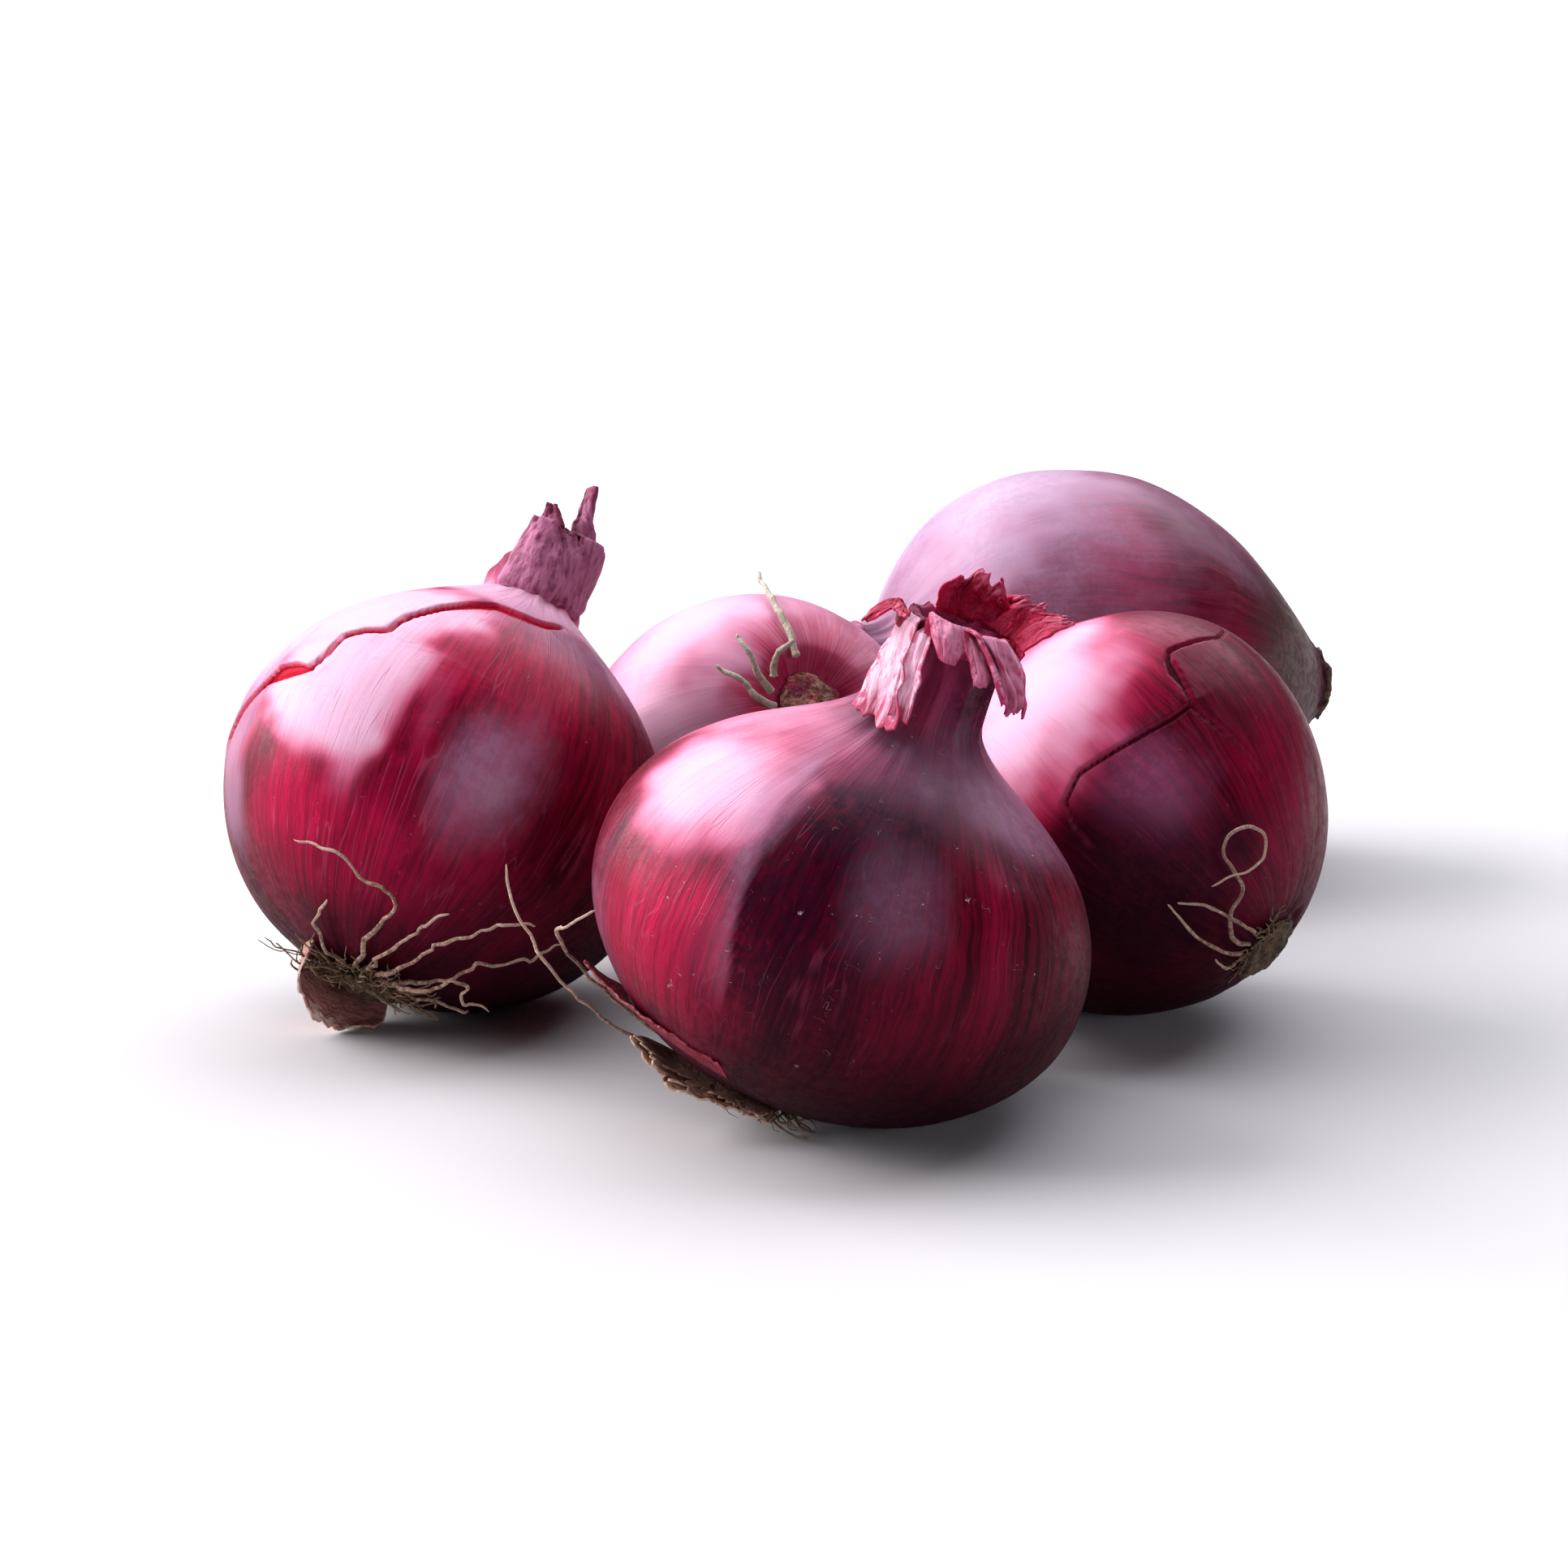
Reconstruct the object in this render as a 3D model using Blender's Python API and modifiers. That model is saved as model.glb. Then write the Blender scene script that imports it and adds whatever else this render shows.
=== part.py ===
"""A bunch of red onions lying loose together: metres, +Z up, the ground at z = 0.

Each onion is modelled about its own axis, with its root end down, its neck up and its widest circle at z = 0
of its own frame. An empty tips it over and rests it on the ground. A place on an onion is three values: the
angle round the axis, the station, which is the distance along the skin from the middle of the root end, and the
height above the skin. A place on a neck is the angle, the rise above the neck's foot and the distance out from
the skin.
"""

import math
from dataclasses import dataclass

import bmesh
import bpy
from mathutils import Matrix, Vector

MM = 0.001

# Sizes that every onion shares
CLEARANCE = 0.3 * MM  # left between pieces that touch
CONTACT_DEPTH = 0.4 * MM  # how far the rounded side is pressed flat where an onion rests
LEAF_THICKNESS = 0.5 * MM
SKIN_THICKNESS = 0.5 * MM
ROOT_RADIUS = 0.5 * MM
ROOT_TIP_SHARE = 0.55  # tip radius over root radius
PLATE_HEIGHT = 2.2 * MM  # the corky disc that the roots grow from
PLATE_SHARE = 0.86  # its radius over the flat end that it sits on
PLATE_SIDE_SHARE = 0.4  # the height of its straight side over its own height
PLATE_EDGE_SHARE = 0.85  # where its rounded edge ends, over its height
PLATE_FACE_SHARE = 0.7  # the radius of its end face over its radius
ROOT_END_SHARE = 0.2  # the flat end's radius over the bulb's
SIDE_PULL = 0.55  # how far the round side carries on towards the root end, over the root depth
GROUND_THICKNESS = 20 * MM
GROUND_HALF_WIDTH = 400 * MM
LOWEST_TRIM = 0.6 * MM  # loose skins and roots stay this far above the ground

# Mesh fineness
TURN_STEPS = 32
ROOT_CURVE_STEPS = 8
SHOULDER_CURVE_STEPS = 9
LEAF_STEPS = 4  # between two knots of a leaf's middle line
LEAF_COLUMNS = 4
SHEET_COLUMNS = 12
SHEET_ROWS = 4
ROOT_STEPS = 3  # between two knots of a root
ROOT_ROUNDNESS = 1  # a curve's bevel resolution
AXIS_MERGE = 0.01 * MM  # points nearer than this to the turning axis join

# Colours
CRIMSON = (0.24, 0.012, 0.045)
PURPLE = (0.13, 0.012, 0.05)
PINK = (0.46, 0.14, 0.22)
DRY_PINK = (0.50, 0.20, 0.26)
DRY_RED = (0.33, 0.02, 0.04)
CORK = (0.16, 0.10, 0.06)
STRAW = (0.46, 0.36, 0.24)

# Roughnesses
SKIN_GLOSS = 0.35
DRY_LEAF_GLOSS = 0.6
ROOT_GLOSS = 0.8
CORK_GLOSS = 0.9


@dataclass(frozen=True)
class Bulb:
    """The sizes of one onion and the way it lies."""

    name: str
    radius: float
    root_depth: float  # from the widest circle down to the root end
    shoulder_height: float  # from the widest circle up to the neck's foot
    neck_radius: float  # at the neck's foot
    neck_end_radius: float
    neck_length: float
    heading: float  # degrees from +X that the neck points in plan
    lift: float  # degrees that the neck rises above level
    root_fullness: float  # 0 is a pointed root end, 1 a full one
    shoulder_fullness: float = 0.7
    shoulder_tuck: float = 0.73
    color: tuple = CRIMSON

    def outline(self):
        """(radius, z) of the skin, from the middle of the root end up to the middle of the neck's end."""
        flat = ROOT_END_SHARE * self.radius
        foot, neck = self.shoulder_height, self.neck_radius
        lower = bezier(
            (flat, -self.root_depth),
            (self.root_fullness * self.radius, -self.root_depth),
            (self.radius, -SIDE_PULL * self.root_depth),
            (self.radius, 0.0),
            ROOT_CURVE_STEPS,
        )
        upper = bezier(
            (self.radius, 0.0),
            (self.radius, foot * self.shoulder_fullness),
            (neck, foot * self.shoulder_tuck),
            (neck, foot),
            SHOULDER_CURVE_STEPS,
        )
        top = foot + self.neck_length
        return [(0.0, -self.root_depth), *lower, *upper[1:], (self.neck_end_radius, top), (0.0, top)]

    def axis(self):
        """The direction of the neck in the world."""
        heading, lift = math.radians(self.heading), math.radians(self.lift)
        level = math.cos(lift)
        return Vector((level * math.cos(heading), level * math.sin(heading), math.sin(lift)))

    def reach(self, direction):
        """How far the onion reaches from its centre along a unit direction."""
        along = self.axis().dot(direction)
        across = math.sqrt(max(0.0, 1.0 - along * along))
        return max(r * across + z * along for r, z in self.outline())

    def tilt(self):
        """The rotation that takes the onion's own frame to the world."""
        turn = Matrix.Rotation(math.radians(self.heading), 4, "Z")
        return turn @ Matrix.Rotation(math.radians(90.0 - self.lift), 4, "Y")

    def radius_at(self, z):
        """The skin's radius at this z, and above the neck the radius of its end."""
        side = self.outline()[1:-1]
        for (r0, z0), (r1, z1) in zip(side, side[1:]):
            if z0 <= z <= z1:
                return r0 + (r1 - r0) * (z - z0) / max(z1 - z0, 1e-9)
        return self.neck_end_radius if z > 0 else side[0][0]

    def skin_point(self, angle, station, height):
        """The point at this angle in degrees, station and height above the skin."""
        left = station
        points = self.outline()
        for (r0, z0), (r1, z1) in zip(points, points[1:]):
            length = math.hypot(r1 - r0, z1 - z0)
            if left <= length:
                break
            left -= length
        along = ((r1 - r0) / length, (z1 - z0) / length)
        r = r0 + along[0] * left + along[1] * height
        z = z0 + along[1] * left - along[0] * height
        return Vector((r * math.cos(math.radians(angle)), r * math.sin(math.radians(angle)), z))

    def neck_point(self, angle, rise, out):
        """The point at this angle in degrees, rise above the neck's foot and distance out from the skin."""
        z = self.shoulder_height + rise
        r = self.radius_at(z) + out
        return Vector((r * math.cos(math.radians(angle)), r * math.sin(math.radians(angle)), z))


@dataclass(frozen=True)
class Neighbour:
    """Where an onion lies: beside another one, on a bearing from +X in degrees, with a gap between the two."""

    name: str
    beside: str
    bearing: float
    gap: float


FRONT = Bulb(
    "front", 40 * MM, 27.8 * MM, 39.2 * MM, 9.2 * MM, 8.6 * MM, 12.5 * MM, 0, 68.5, 0.55, color=PURPLE
)
LEFT = Bulb("left", 38 * MM, 32.2 * MM, 39 * MM, 8.2 * MM, 5 * MM, 13 * MM, 50, 53.4, 0.59, 0.71, 0.90)
RIGHT = Bulb("right", 35.5 * MM, 34.3 * MM, 39.1 * MM, 6.5 * MM, 5 * MM, 4 * MM, 144, 33.7, 0.5, 0.61)
REAR = Bulb("rear", 38 * MM, 49 * MM, 46 * MM, 6.4 * MM, 5 * MM, 4 * MM, 200, 7, 0.12, 0.88, color=PURPLE)
MIDDLE = Bulb("middle", 32 * MM, 32 * MM, 33 * MM, 6.6 * MM, 5 * MM, 4 * MM, 115, -37, 0.64, 0.62, 0.62, PINK)
BULBS = (FRONT, LEFT, RIGHT, REAR, MIDDLE)

PLACES = (
    Neighbour("right", "front", 51, 1.0 * MM),
    Neighbour("left", "front", 138.5, 11 * MM),
    Neighbour("middle", "left", 42, 0.6 * MM),
    Neighbour("rear", "middle", 40.5, 0.6 * MM),
)

# Leaves: knots of (angle, rise, out) in degrees and millimetres, and the half width at each knot. Where out is 0
# the leaf lies on the neck.
NECK_LEAVES = {
    "front_neck_leaf_left": (
        FRONT,
        DRY_PINK,
        ((-155, 10.0, 0.3), (-146, 6.2, 0.8), (-130, 1.9, 1.9), (-112, -4.6, 3.0)),
        (2.4, 3.0, 3.4, 3.2),
    ),
    "front_neck_leaf_edge": (
        FRONT,
        DRY_RED,
        ((170, 8.5, 0.3), (172, 12.0, 0.6), (180, 13.4, 3.0), (-168, 12.0, 5.6), (-160, 10.0, 8.0)),
        (2.6, 2.8, 2.6, 2.0, 0.8),
    ),
    "front_neck_leaf_middle": (
        FRONT,
        DRY_PINK,
        ((-112, 8.5, 0.3), (-112, 12.6, 0.7), (-106, 14.6, 2.4), (-100, 12.6, 4.2), (-96, 9.5, 4.2)),
        (2.2, 2.4, 2.4, 2.2, 1.2),
    ),
    "front_neck_leaf_hanging": (
        FRONT,
        DRY_PINK,
        ((-78, 8.5, 0.3), (-78, 13.0, 0.9), (-72, 14.6, 4.0), (-62, 11.2, 6.4), (-50, 6.9, 7.4), (-46, 3.6, 7.0)),
        (2.4, 3.0, 3.2, 3.0, 2.6, 1.2),
    ),
    "front_neck_leaf_back": (
        FRONT,
        DRY_RED,
        ((82, 7.5, 0.3), (82, 12.8, 0.5), (80, 17.0, -0.6), (74, 22.0, -2.8)),
        (4.4, 5.4, 5.0, 1.6),
    ),
    "front_neck_leaf_right": (
        FRONT,
        DRY_RED,
        ((14, 8.5, 0.3), (14, 13.2, 0.9), (12, 17.2, 2.6), (9, 19.6, 6.2)),
        (3.4, 4.4, 4.6, 1.2),
    ),
    "left_neck_leaf_outer": (
        LEFT,
        DRY_PINK,
        ((176, 1.0, 0.3), (178, 6.0, 0.3), (180, 11.0, 0.3), (182, 15.6, 1.8)),
        (4.6, 4.4, 3.2, 0.8),
    ),
    "left_neck_leaf_tip": (
        LEFT,
        DRY_PINK,
        ((-78, 3.0, 0.3), (-80, 8.0, 0.3), (-84, 13.6, 0.4), (-98, 17.4, -1.4), (-114, 22.5, -2.6)),
        (5.4, 5.0, 3.8, 1.9, 0.8),
    ),
    "right_neck_leaf": (
        RIGHT,
        DRY_PINK,
        ((40, -1.5, 0.3), (40, 2.0, 0.3), (40, 5.0, 0.4), (42, 8.0, 1.6)),
        (4.0, 4.0, 3.2, 1.2),
    ),
    "rear_neck_leaf": (
        REAR,
        DRY_RED,
        ((160, -1.0, 0.3), (160, 3.0, 0.3), (160, 6.5, 0.4), (162, 10.0, 2.0)),
        (4.2, 4.2, 3.4, 1.2),
    ),
    "middle_neck_leaf": (
        MIDDLE,
        DRY_PINK,
        ((180, -1.0, 0.3), (180, 2.5, 0.3), (180, 5.5, 0.4), (178, 8.0, 1.4)),
        (4.0, 4.0, 3.2, 1.2),
    ),
}

# Torn skins by the root end: an attached edge and a free edge, as (angle, station, height) in degrees and mm
ROOT_SKINS = {
    "front_root_skirt": (
        FRONT,
        CORK,
        ((-168, 13.0, 0.3), (-140, 12.0, 0.3), (-112, 11.0, 0.3), (-84, 10.5, 0.3)),
        ((-156, 27.0, 4.0), (-138, 23.5, 5.6), (-116, 20.5, 4.0), (-92, 17.5, 2.6)),
    ),
    "front_skin_flap": (
        FRONT,
        DRY_RED,
        ((-178, 29.0, 0.3), (-160, 29.5, 0.3), (-136, 28.5, 0.3), (-112, 27.0, 0.3)),
        ((-172, 37.0, 4.0), (-156, 34.5, 2.2), (-134, 33.5, 1.2), (-114, 32.0, 0.6)),
    ),
    "left_skin_flap": (
        LEFT,
        DRY_RED,
        ((172, 14.0, 0.3), (140, 11.5, 0.3), (100, 11.0, 0.3), (60, 12.0, 0.3)),
        ((178, 13.0, 4.6), (160, 7.0, 7.2), (90, 3.5, 9.0), (30, 8.0, 8.6)),
    ),
}

# Roots: knots of (angle, station, height) in degrees and millimetres, from beside the root plate to the tip
ROOTS = {
    "front_root_long": (FRONT, ((-178, 10.8, 0.3), (-176, 20, 2.6), (-174, 36, 8), (178, 48, 13))),
    "front_root_bent": (
        FRONT,
        ((168, 10.8, 0.3), (172, 24, 2), (-174, 40, 5.4), (-160, 45, 5), (-154, 48.5, 2.2)),
    ),
    "left_root_1": (
        LEFT,
        ((-150, 10.2, 0.3), (-137, 30, 2.4), (-148, 33, 3.4), (-157, 35.5, 3.4), (-170, 36, 4.4)),
    ),
    "left_root_2": (LEFT, ((-141, 10.2, 0.3), (-130, 26, 4.4), (-124, 35, 6))),
    "left_root_3": (LEFT, ((-132, 10.2, 0.3), (-122, 28, 6.4), (-115, 36, 7.4), (-106, 40, 8.4))),
    "left_root_4": (
        LEFT,
        ((-123, 10.2, 0.3), (-112, 25, 7.4), (-106, 28, 8.4), (-104, 25, 7.8), (-90, 25, 6.4)),
    ),
    "left_root_5": (LEFT, ((-114, 10.2, 0.3), (-106, 26, 3.4), (-97, 32, 4), (-91, 39, 4.4))),
    "left_root_6": (LEFT, ((-105, 10.2, 0.3), (-95, 18, 3.4), (-76, 19, 2.4))),
    "left_root_7": (LEFT, ((-160, 10.2, 0.3), (-166, 20, 2), (-160, 27, 3))),
    "right_root_1": (
        RIGHT,
        (
            (112, 9.4, 0.3),
            (114, 16, 2.4),
            (124, 24, 3.4),
            (129, 31, 5.6),
            (138, 33, 6.6),
            (141, 29, 6),
            (129, 25.5, 6),
        ),
    ),
    "right_root_2": (RIGHT, ((100, 9.4, 0.3), (102, 17, 2.4), (103, 24, 4), (110, 31, 5.4))),
    "right_root_3": (RIGHT, ((124, 9.4, 0.3), (120, 18, 1.8), (116, 24, 1.4), (111, 28, 1.6))),
    "right_root_4": (RIGHT, ((86, 9.4, 0.3), (92, 13, 2.4), (100, 18, 4.4))),
    "middle_root_1": (MIDDLE, ((104, 8.2, 0.3), (112, 10.5, 3), (124, 12.5, 4.6), (134, 15.5, 5.6))),
    "middle_root_2": (MIDDLE, ((84, 8.2, 0.3), (92, 11, 2.4), (106, 13, 3), (116, 17, 3.4))),
    "middle_root_3": (MIDDLE, ((126, 8.2, 0.3), (140, 9.5, 3), (160, 9, 5.4))),
    "middle_root_4": (MIDDLE, ((170, 8.2, 0.3), (176, 16, 1), (182, 26, 0.6), (184, 33, 3.4))),
}


def bezier(start, first_pull, second_pull, end, steps):
    """Points of a cubic curve, both ends included."""
    points = []
    for step in range(steps + 1):
        t = step / steps
        weights = ((1 - t) ** 3, 3 * t * (1 - t) ** 2, 3 * t * t * (1 - t), t**3)
        corners = (start, first_pull, second_pull, end)
        points.append(tuple(sum(w * corner[i] for w, corner in zip(weights, corners)) for i in (0, 1)))
    return points


def smooth_through(knots, steps):
    """Points of a smooth curve through knots, each a tuple of numbers, with this many steps between knots."""
    line = [knots[0], *knots, knots[-1]]
    points = []
    for before, here, after, beyond in zip(line, line[1:], line[2:], line[3:]):
        for step in range(steps):
            t = step / steps
            weights = (
                0.5 * (-t + 2 * t * t - t**3),
                0.5 * (2 - 5 * t * t + 3 * t**3),
                0.5 * (t + 4 * t * t - 3 * t**3),
                0.5 * (t**3 - t * t),
            )
            near = (before, here, after, beyond)
            points.append(tuple(sum(w * k[i] for w, k in zip(weights, near)) for i in range(len(here))))
    return [*points, tuple(knots[-1])]


def unwrapped(knots):
    """The knots with each angle taken the short way round from the one before it."""
    result = [tuple(knots[0])]
    for angle, *rest in knots[1:]:
        last = result[-1][0]
        result.append((last + (angle - last + 180) % 360 - 180, *rest))
    return result


def clear_scene():
    """Remove every object, so that only the onions are left."""
    for obj in list(bpy.data.objects):
        bpy.data.objects.remove(obj, do_unlink=True)


def make_collection(name):
    """A new collection in the scene."""
    collection = bpy.data.collections.new(name)
    bpy.context.scene.collection.children.link(collection)
    return collection


def make_material(name, color, roughness):
    """A Principled material."""
    material = bpy.data.materials.new(name)
    material.use_nodes = True
    shader = material.node_tree.nodes["Principled BSDF"]
    shader.inputs["Base Color"].default_value = (*color, 1.0)
    shader.inputs["Roughness"].default_value = roughness
    return material


def add_object(collection, parent, name, data, color, roughness):
    """A named object with its own material, held by its onion's empty."""
    obj = bpy.data.objects.new(name, data)
    data.materials.append(make_material(name, color, roughness))
    obj.parent = parent
    collection.objects.link(obj)
    return obj


def add_turned(collection, parent, name, profile, color, roughness):
    """A solid turned about z from a profile that runs down its outer side, top to bottom."""
    mesh = bpy.data.meshes.new(name)
    edges = [(i, i + 1) for i in range(len(profile) - 1)]
    mesh.from_pydata([(r, 0.0, z) for r, z in profile], edges, [])
    obj = add_object(collection, parent, name, mesh, color, roughness)
    screw = obj.modifiers.new("turn", "SCREW")
    screw.steps = screw.render_steps = TURN_STEPS
    screw.use_merge_vertices = True
    screw.merge_threshold = AXIS_MERGE
    screw.use_smooth_shade = True
    return obj


def add_sheet(collection, parent, name, rows, thickness, color):
    """A thin sheet over a grid of points, thickened evenly to both sides."""
    mesh = bpy.data.meshes.new(name)
    grid = bmesh.new()
    corners = [[grid.verts.new(point) for point in row] for row in rows]
    for low, high in zip(corners, corners[1:]):
        for a, b, c, d in zip(low, low[1:], high[1:], high):
            grid.faces.new((a, b, c, d)).smooth = True
    grid.to_mesh(mesh)
    grid.free()
    obj = add_object(collection, parent, name, mesh, color, DRY_LEAF_GLOSS)
    solidify = obj.modifiers.new("thickness", "SOLIDIFY")
    solidify.thickness = thickness
    solidify.offset = 0.0
    return obj


def add_root(collection, parent, name, points, color):
    """A root: a round tube along the points, thinner towards its tip."""
    curve = bpy.data.curves.new(name, "CURVE")
    curve.dimensions = "3D"
    curve.bevel_depth = ROOT_RADIUS
    curve.bevel_resolution = ROOT_ROUNDNESS
    curve.use_fill_caps = True
    spline = curve.splines.new("POLY")
    spline.points.add(len(points) - 1)
    for index, (target, point) in enumerate(zip(spline.points, points)):
        target.co = (*point, 1.0)
        target.radius = 1.0 - (1.0 - ROOT_TIP_SHARE) * index / (len(points) - 1)
    return add_object(collection, parent, name, curve, color, ROOT_GLOSS)


def above_ground(point, onion):
    """The point, moved up to the lowest height that loose trim may have, if it is under it."""
    world = onion.matrix_world @ point
    world.z = max(world.z, LOWEST_TRIM)
    return onion.matrix_world.inverted() @ world


def lay_out():
    """The centre of each onion in plan: each is pushed along its bearing until a gap is left."""
    bulbs = {bulb.name: bulb for bulb in BULBS}
    centres = {FRONT.name: Vector((0.0, 0.0, 0.0))}
    for place in PLACES:
        bearing = math.radians(place.bearing)
        direction = Vector((math.cos(bearing), math.sin(bearing), 0.0))
        distance = bulbs[place.beside].reach(direction) + bulbs[place.name].reach(-direction) + place.gap
        centres[place.name] = centres[place.beside] + direction * distance
    return centres


def add_onion_frame(bulb, centre, bunch):
    """The empty that tips an onion over and rests it on the ground."""
    onion = bpy.data.objects.new(bulb.name + "_axis", None)
    bpy.context.scene.collection.objects.link(onion)
    onion.parent = bunch
    onion.location = (centre.x, centre.y, bulb.reach(Vector((0, 0, -1))) - CONTACT_DEPTH)
    onion.rotation_euler = bulb.tilt().to_euler()
    return onion


def add_bulb(collection, onion, bulb, ground):
    """The bulb and its neck, grown as one, with the small flat where it rests."""
    body = add_turned(collection, onion, bulb.name + "_bulb", bulb.outline()[::-1], bulb.color, SKIN_GLOSS)
    flat = body.modifiers.new("resting flat", "BOOLEAN")
    flat.operation = "DIFFERENCE"
    flat.object = ground


def add_root_plate(collection, onion, bulb):
    """The corky disc under the flat root end."""
    radius = PLATE_SHARE * ROOT_END_SHARE * bulb.radius
    top = -bulb.root_depth - CLEARANCE
    profile = (
        (0.0, top),
        (radius, top),
        (radius, top - PLATE_SIDE_SHARE * PLATE_HEIGHT),
        (PLATE_FACE_SHARE * radius, top - PLATE_EDGE_SHARE * PLATE_HEIGHT),
        (0.0, top - PLATE_HEIGHT),
    )
    add_turned(collection, onion, bulb.name + "_root_plate", profile, CORK, CORK_GLOSS)


def add_neck_leaf(collection, onion, name, bulb, color, knots, half_widths):
    """A dry leaf: a strip that wraps round the neck where it starts and follows its middle line."""
    line = [(*knot, width) for knot, width in zip(unwrapped(knots), half_widths)]
    lying = CLEARANCE + LEAF_THICKNESS / 2
    shares = [2 * column / LEAF_COLUMNS - 1 for column in range(LEAF_COLUMNS + 1)]
    rows = []
    for angle, rise, out, half_width in smooth_through(line, LEAF_STEPS):
        middle = bulb.neck_point(angle, rise * MM, out * MM + lying)
        spread = math.degrees(half_width * MM / middle.xy.length)
        rows.append([bulb.neck_point(angle + spread * share, rise * MM, out * MM + lying) for share in shares])
    add_sheet(collection, onion, name, rows, LEAF_THICKNESS, color)


def add_root_skin(collection, onion, name, bulb, color, attached, free):
    """A torn skin between its attached edge and its free edge, kept above the ground."""
    lying = CLEARANCE + SKIN_THICKNESS / 2
    steps = SHEET_COLUMNS // (len(attached) - 1)
    edges = [smooth_through(unwrapped(edge), steps) for edge in (attached, free)]
    rows = []
    for row in range(SHEET_ROWS + 1):
        share = row / SHEET_ROWS
        places = [
            tuple(a + (b - a) * share for a, b in zip(near, far)) for near, far in zip(*edges)
        ]
        rows.append([above_ground(bulb.skin_point(a, s * MM, h * MM + lying), onion) for a, s, h in places])
    add_sheet(collection, onion, name, rows, SKIN_THICKNESS, color)


def stand_on_origin(bunch, pieces):
    """Move the bunch so that the origin lies under the middle of its box."""
    bpy.context.view_layer.update()
    graph = bpy.context.evaluated_depsgraph_get()
    points = []
    for piece in pieces:
        evaluated = piece.evaluated_get(graph)
        points += [evaluated.matrix_world @ vertex.co for vertex in evaluated.to_mesh().vertices]
        evaluated.to_mesh_clear()
    for axis in (0, 1):
        values = [point[axis] for point in points]
        bunch.location[axis] = -(min(values) + max(values)) / 2


def main():
    """Build the bunch."""
    clear_scene()
    onions_collection = make_collection("bunch_of_onions")
    cutters = make_collection("cutters")

    bunch = bpy.data.objects.new("bunch", None)
    bpy.context.scene.collection.objects.link(bunch)

    bpy.ops.mesh.primitive_cube_add(size=1, location=(0, 0, -GROUND_THICKNESS / 2))
    ground = bpy.context.object
    ground.name = "ground_cutter"
    ground.scale = (2 * GROUND_HALF_WIDTH, 2 * GROUND_HALF_WIDTH, GROUND_THICKNESS)
    ground.hide_render = True
    ground.display_type = "WIRE"
    for collection in list(ground.users_collection):
        collection.objects.unlink(ground)
    cutters.objects.link(ground)

    centres = lay_out()
    onions = {bulb.name: add_onion_frame(bulb, centres[bulb.name], bunch) for bulb in BULBS}
    bpy.context.view_layer.update()

    for bulb in BULBS:
        add_bulb(onions_collection, onions[bulb.name], bulb, ground)
        add_root_plate(onions_collection, onions[bulb.name], bulb)
    for name, (bulb, color, knots, half_widths) in NECK_LEAVES.items():
        add_neck_leaf(onions_collection, onions[bulb.name], name, bulb, color, knots, half_widths)
    for name, (bulb, color, attached, free) in ROOT_SKINS.items():
        add_root_skin(onions_collection, onions[bulb.name], name, bulb, color, attached, free)
    for name, (bulb, knots) in ROOTS.items():
        onion = onions[bulb.name]
        places = smooth_through(unwrapped(knots), ROOT_STEPS)
        lying = CLEARANCE + ROOT_RADIUS
        points = [above_ground(bulb.skin_point(a, s * MM, h * MM + lying), onion) for a, s, h in places]
        add_root(onions_collection, onion, name, points, STRAW)

    stand_on_origin(bunch, onions_collection.objects)


main()
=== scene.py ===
"""A bunch of five red onions: their skins, dry leaves and roots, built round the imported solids.

Each onion is shaped about its own axis, in millimetres, as its solid is: the root end down, the neck up and
the widest circle at z = 0. A place on an onion is an angle round the axis in degrees, a station, which is the
distance along the skin from the middle of the root end, and a height above the skin. A place on a neck is an
angle, a rise above the neck's foot and a distance out from the skin.
"""

from __future__ import annotations

import logging
import math
from dataclasses import dataclass, field
from enum import Enum
from functools import cached_property
from itertools import product
from typing import Callable, Sequence

import bpy
import numpy as np
from mathutils import Matrix, Vector

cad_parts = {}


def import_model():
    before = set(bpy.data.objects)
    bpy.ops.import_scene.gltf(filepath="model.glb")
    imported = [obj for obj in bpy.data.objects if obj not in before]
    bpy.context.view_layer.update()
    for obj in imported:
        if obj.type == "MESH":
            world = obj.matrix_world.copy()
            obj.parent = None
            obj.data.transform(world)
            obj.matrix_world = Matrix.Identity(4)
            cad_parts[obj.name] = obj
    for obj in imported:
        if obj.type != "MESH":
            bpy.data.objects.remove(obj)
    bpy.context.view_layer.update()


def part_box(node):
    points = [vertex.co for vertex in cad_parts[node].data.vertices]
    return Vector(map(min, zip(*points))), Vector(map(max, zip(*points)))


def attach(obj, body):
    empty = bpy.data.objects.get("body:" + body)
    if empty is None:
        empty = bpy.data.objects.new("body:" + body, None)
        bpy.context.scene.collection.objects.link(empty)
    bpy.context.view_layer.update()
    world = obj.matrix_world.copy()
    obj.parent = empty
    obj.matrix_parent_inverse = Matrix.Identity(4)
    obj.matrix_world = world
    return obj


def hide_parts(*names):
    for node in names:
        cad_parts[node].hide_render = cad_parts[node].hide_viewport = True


LOG = logging.getLogger("onions")

MM = 0.001
BODY = "root"
OWN_PLACE = "own_place"  # each point's place in its onion's own frame, in millimetres

Colour = tuple[float, float, float]
Knot = tuple[float, ...]

# Shares that every onion has in common with its solid
ROOT_END_SHARE = 0.2
SIDE_PULL = 0.55
PLATE_SHARE = 0.86
PLATE_HEIGHT = 2.2
CLEARANCE = 0.3


class Slot(Enum):
    """The record's material slots."""

    CRIMSON_SKIN = "crimson_skin"
    PURPLE_SKIN = "purple_skin"
    PALE_SKIN = "pale_skin"
    DRY_PINK_LEAF = "dry_pink_leaf"
    DRY_RED_SKIN = "dry_red_skin"
    ROOT_PLATE = "root_plate"
    ROOT_HUSK = "root_husk"
    ROOT = "root"


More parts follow.
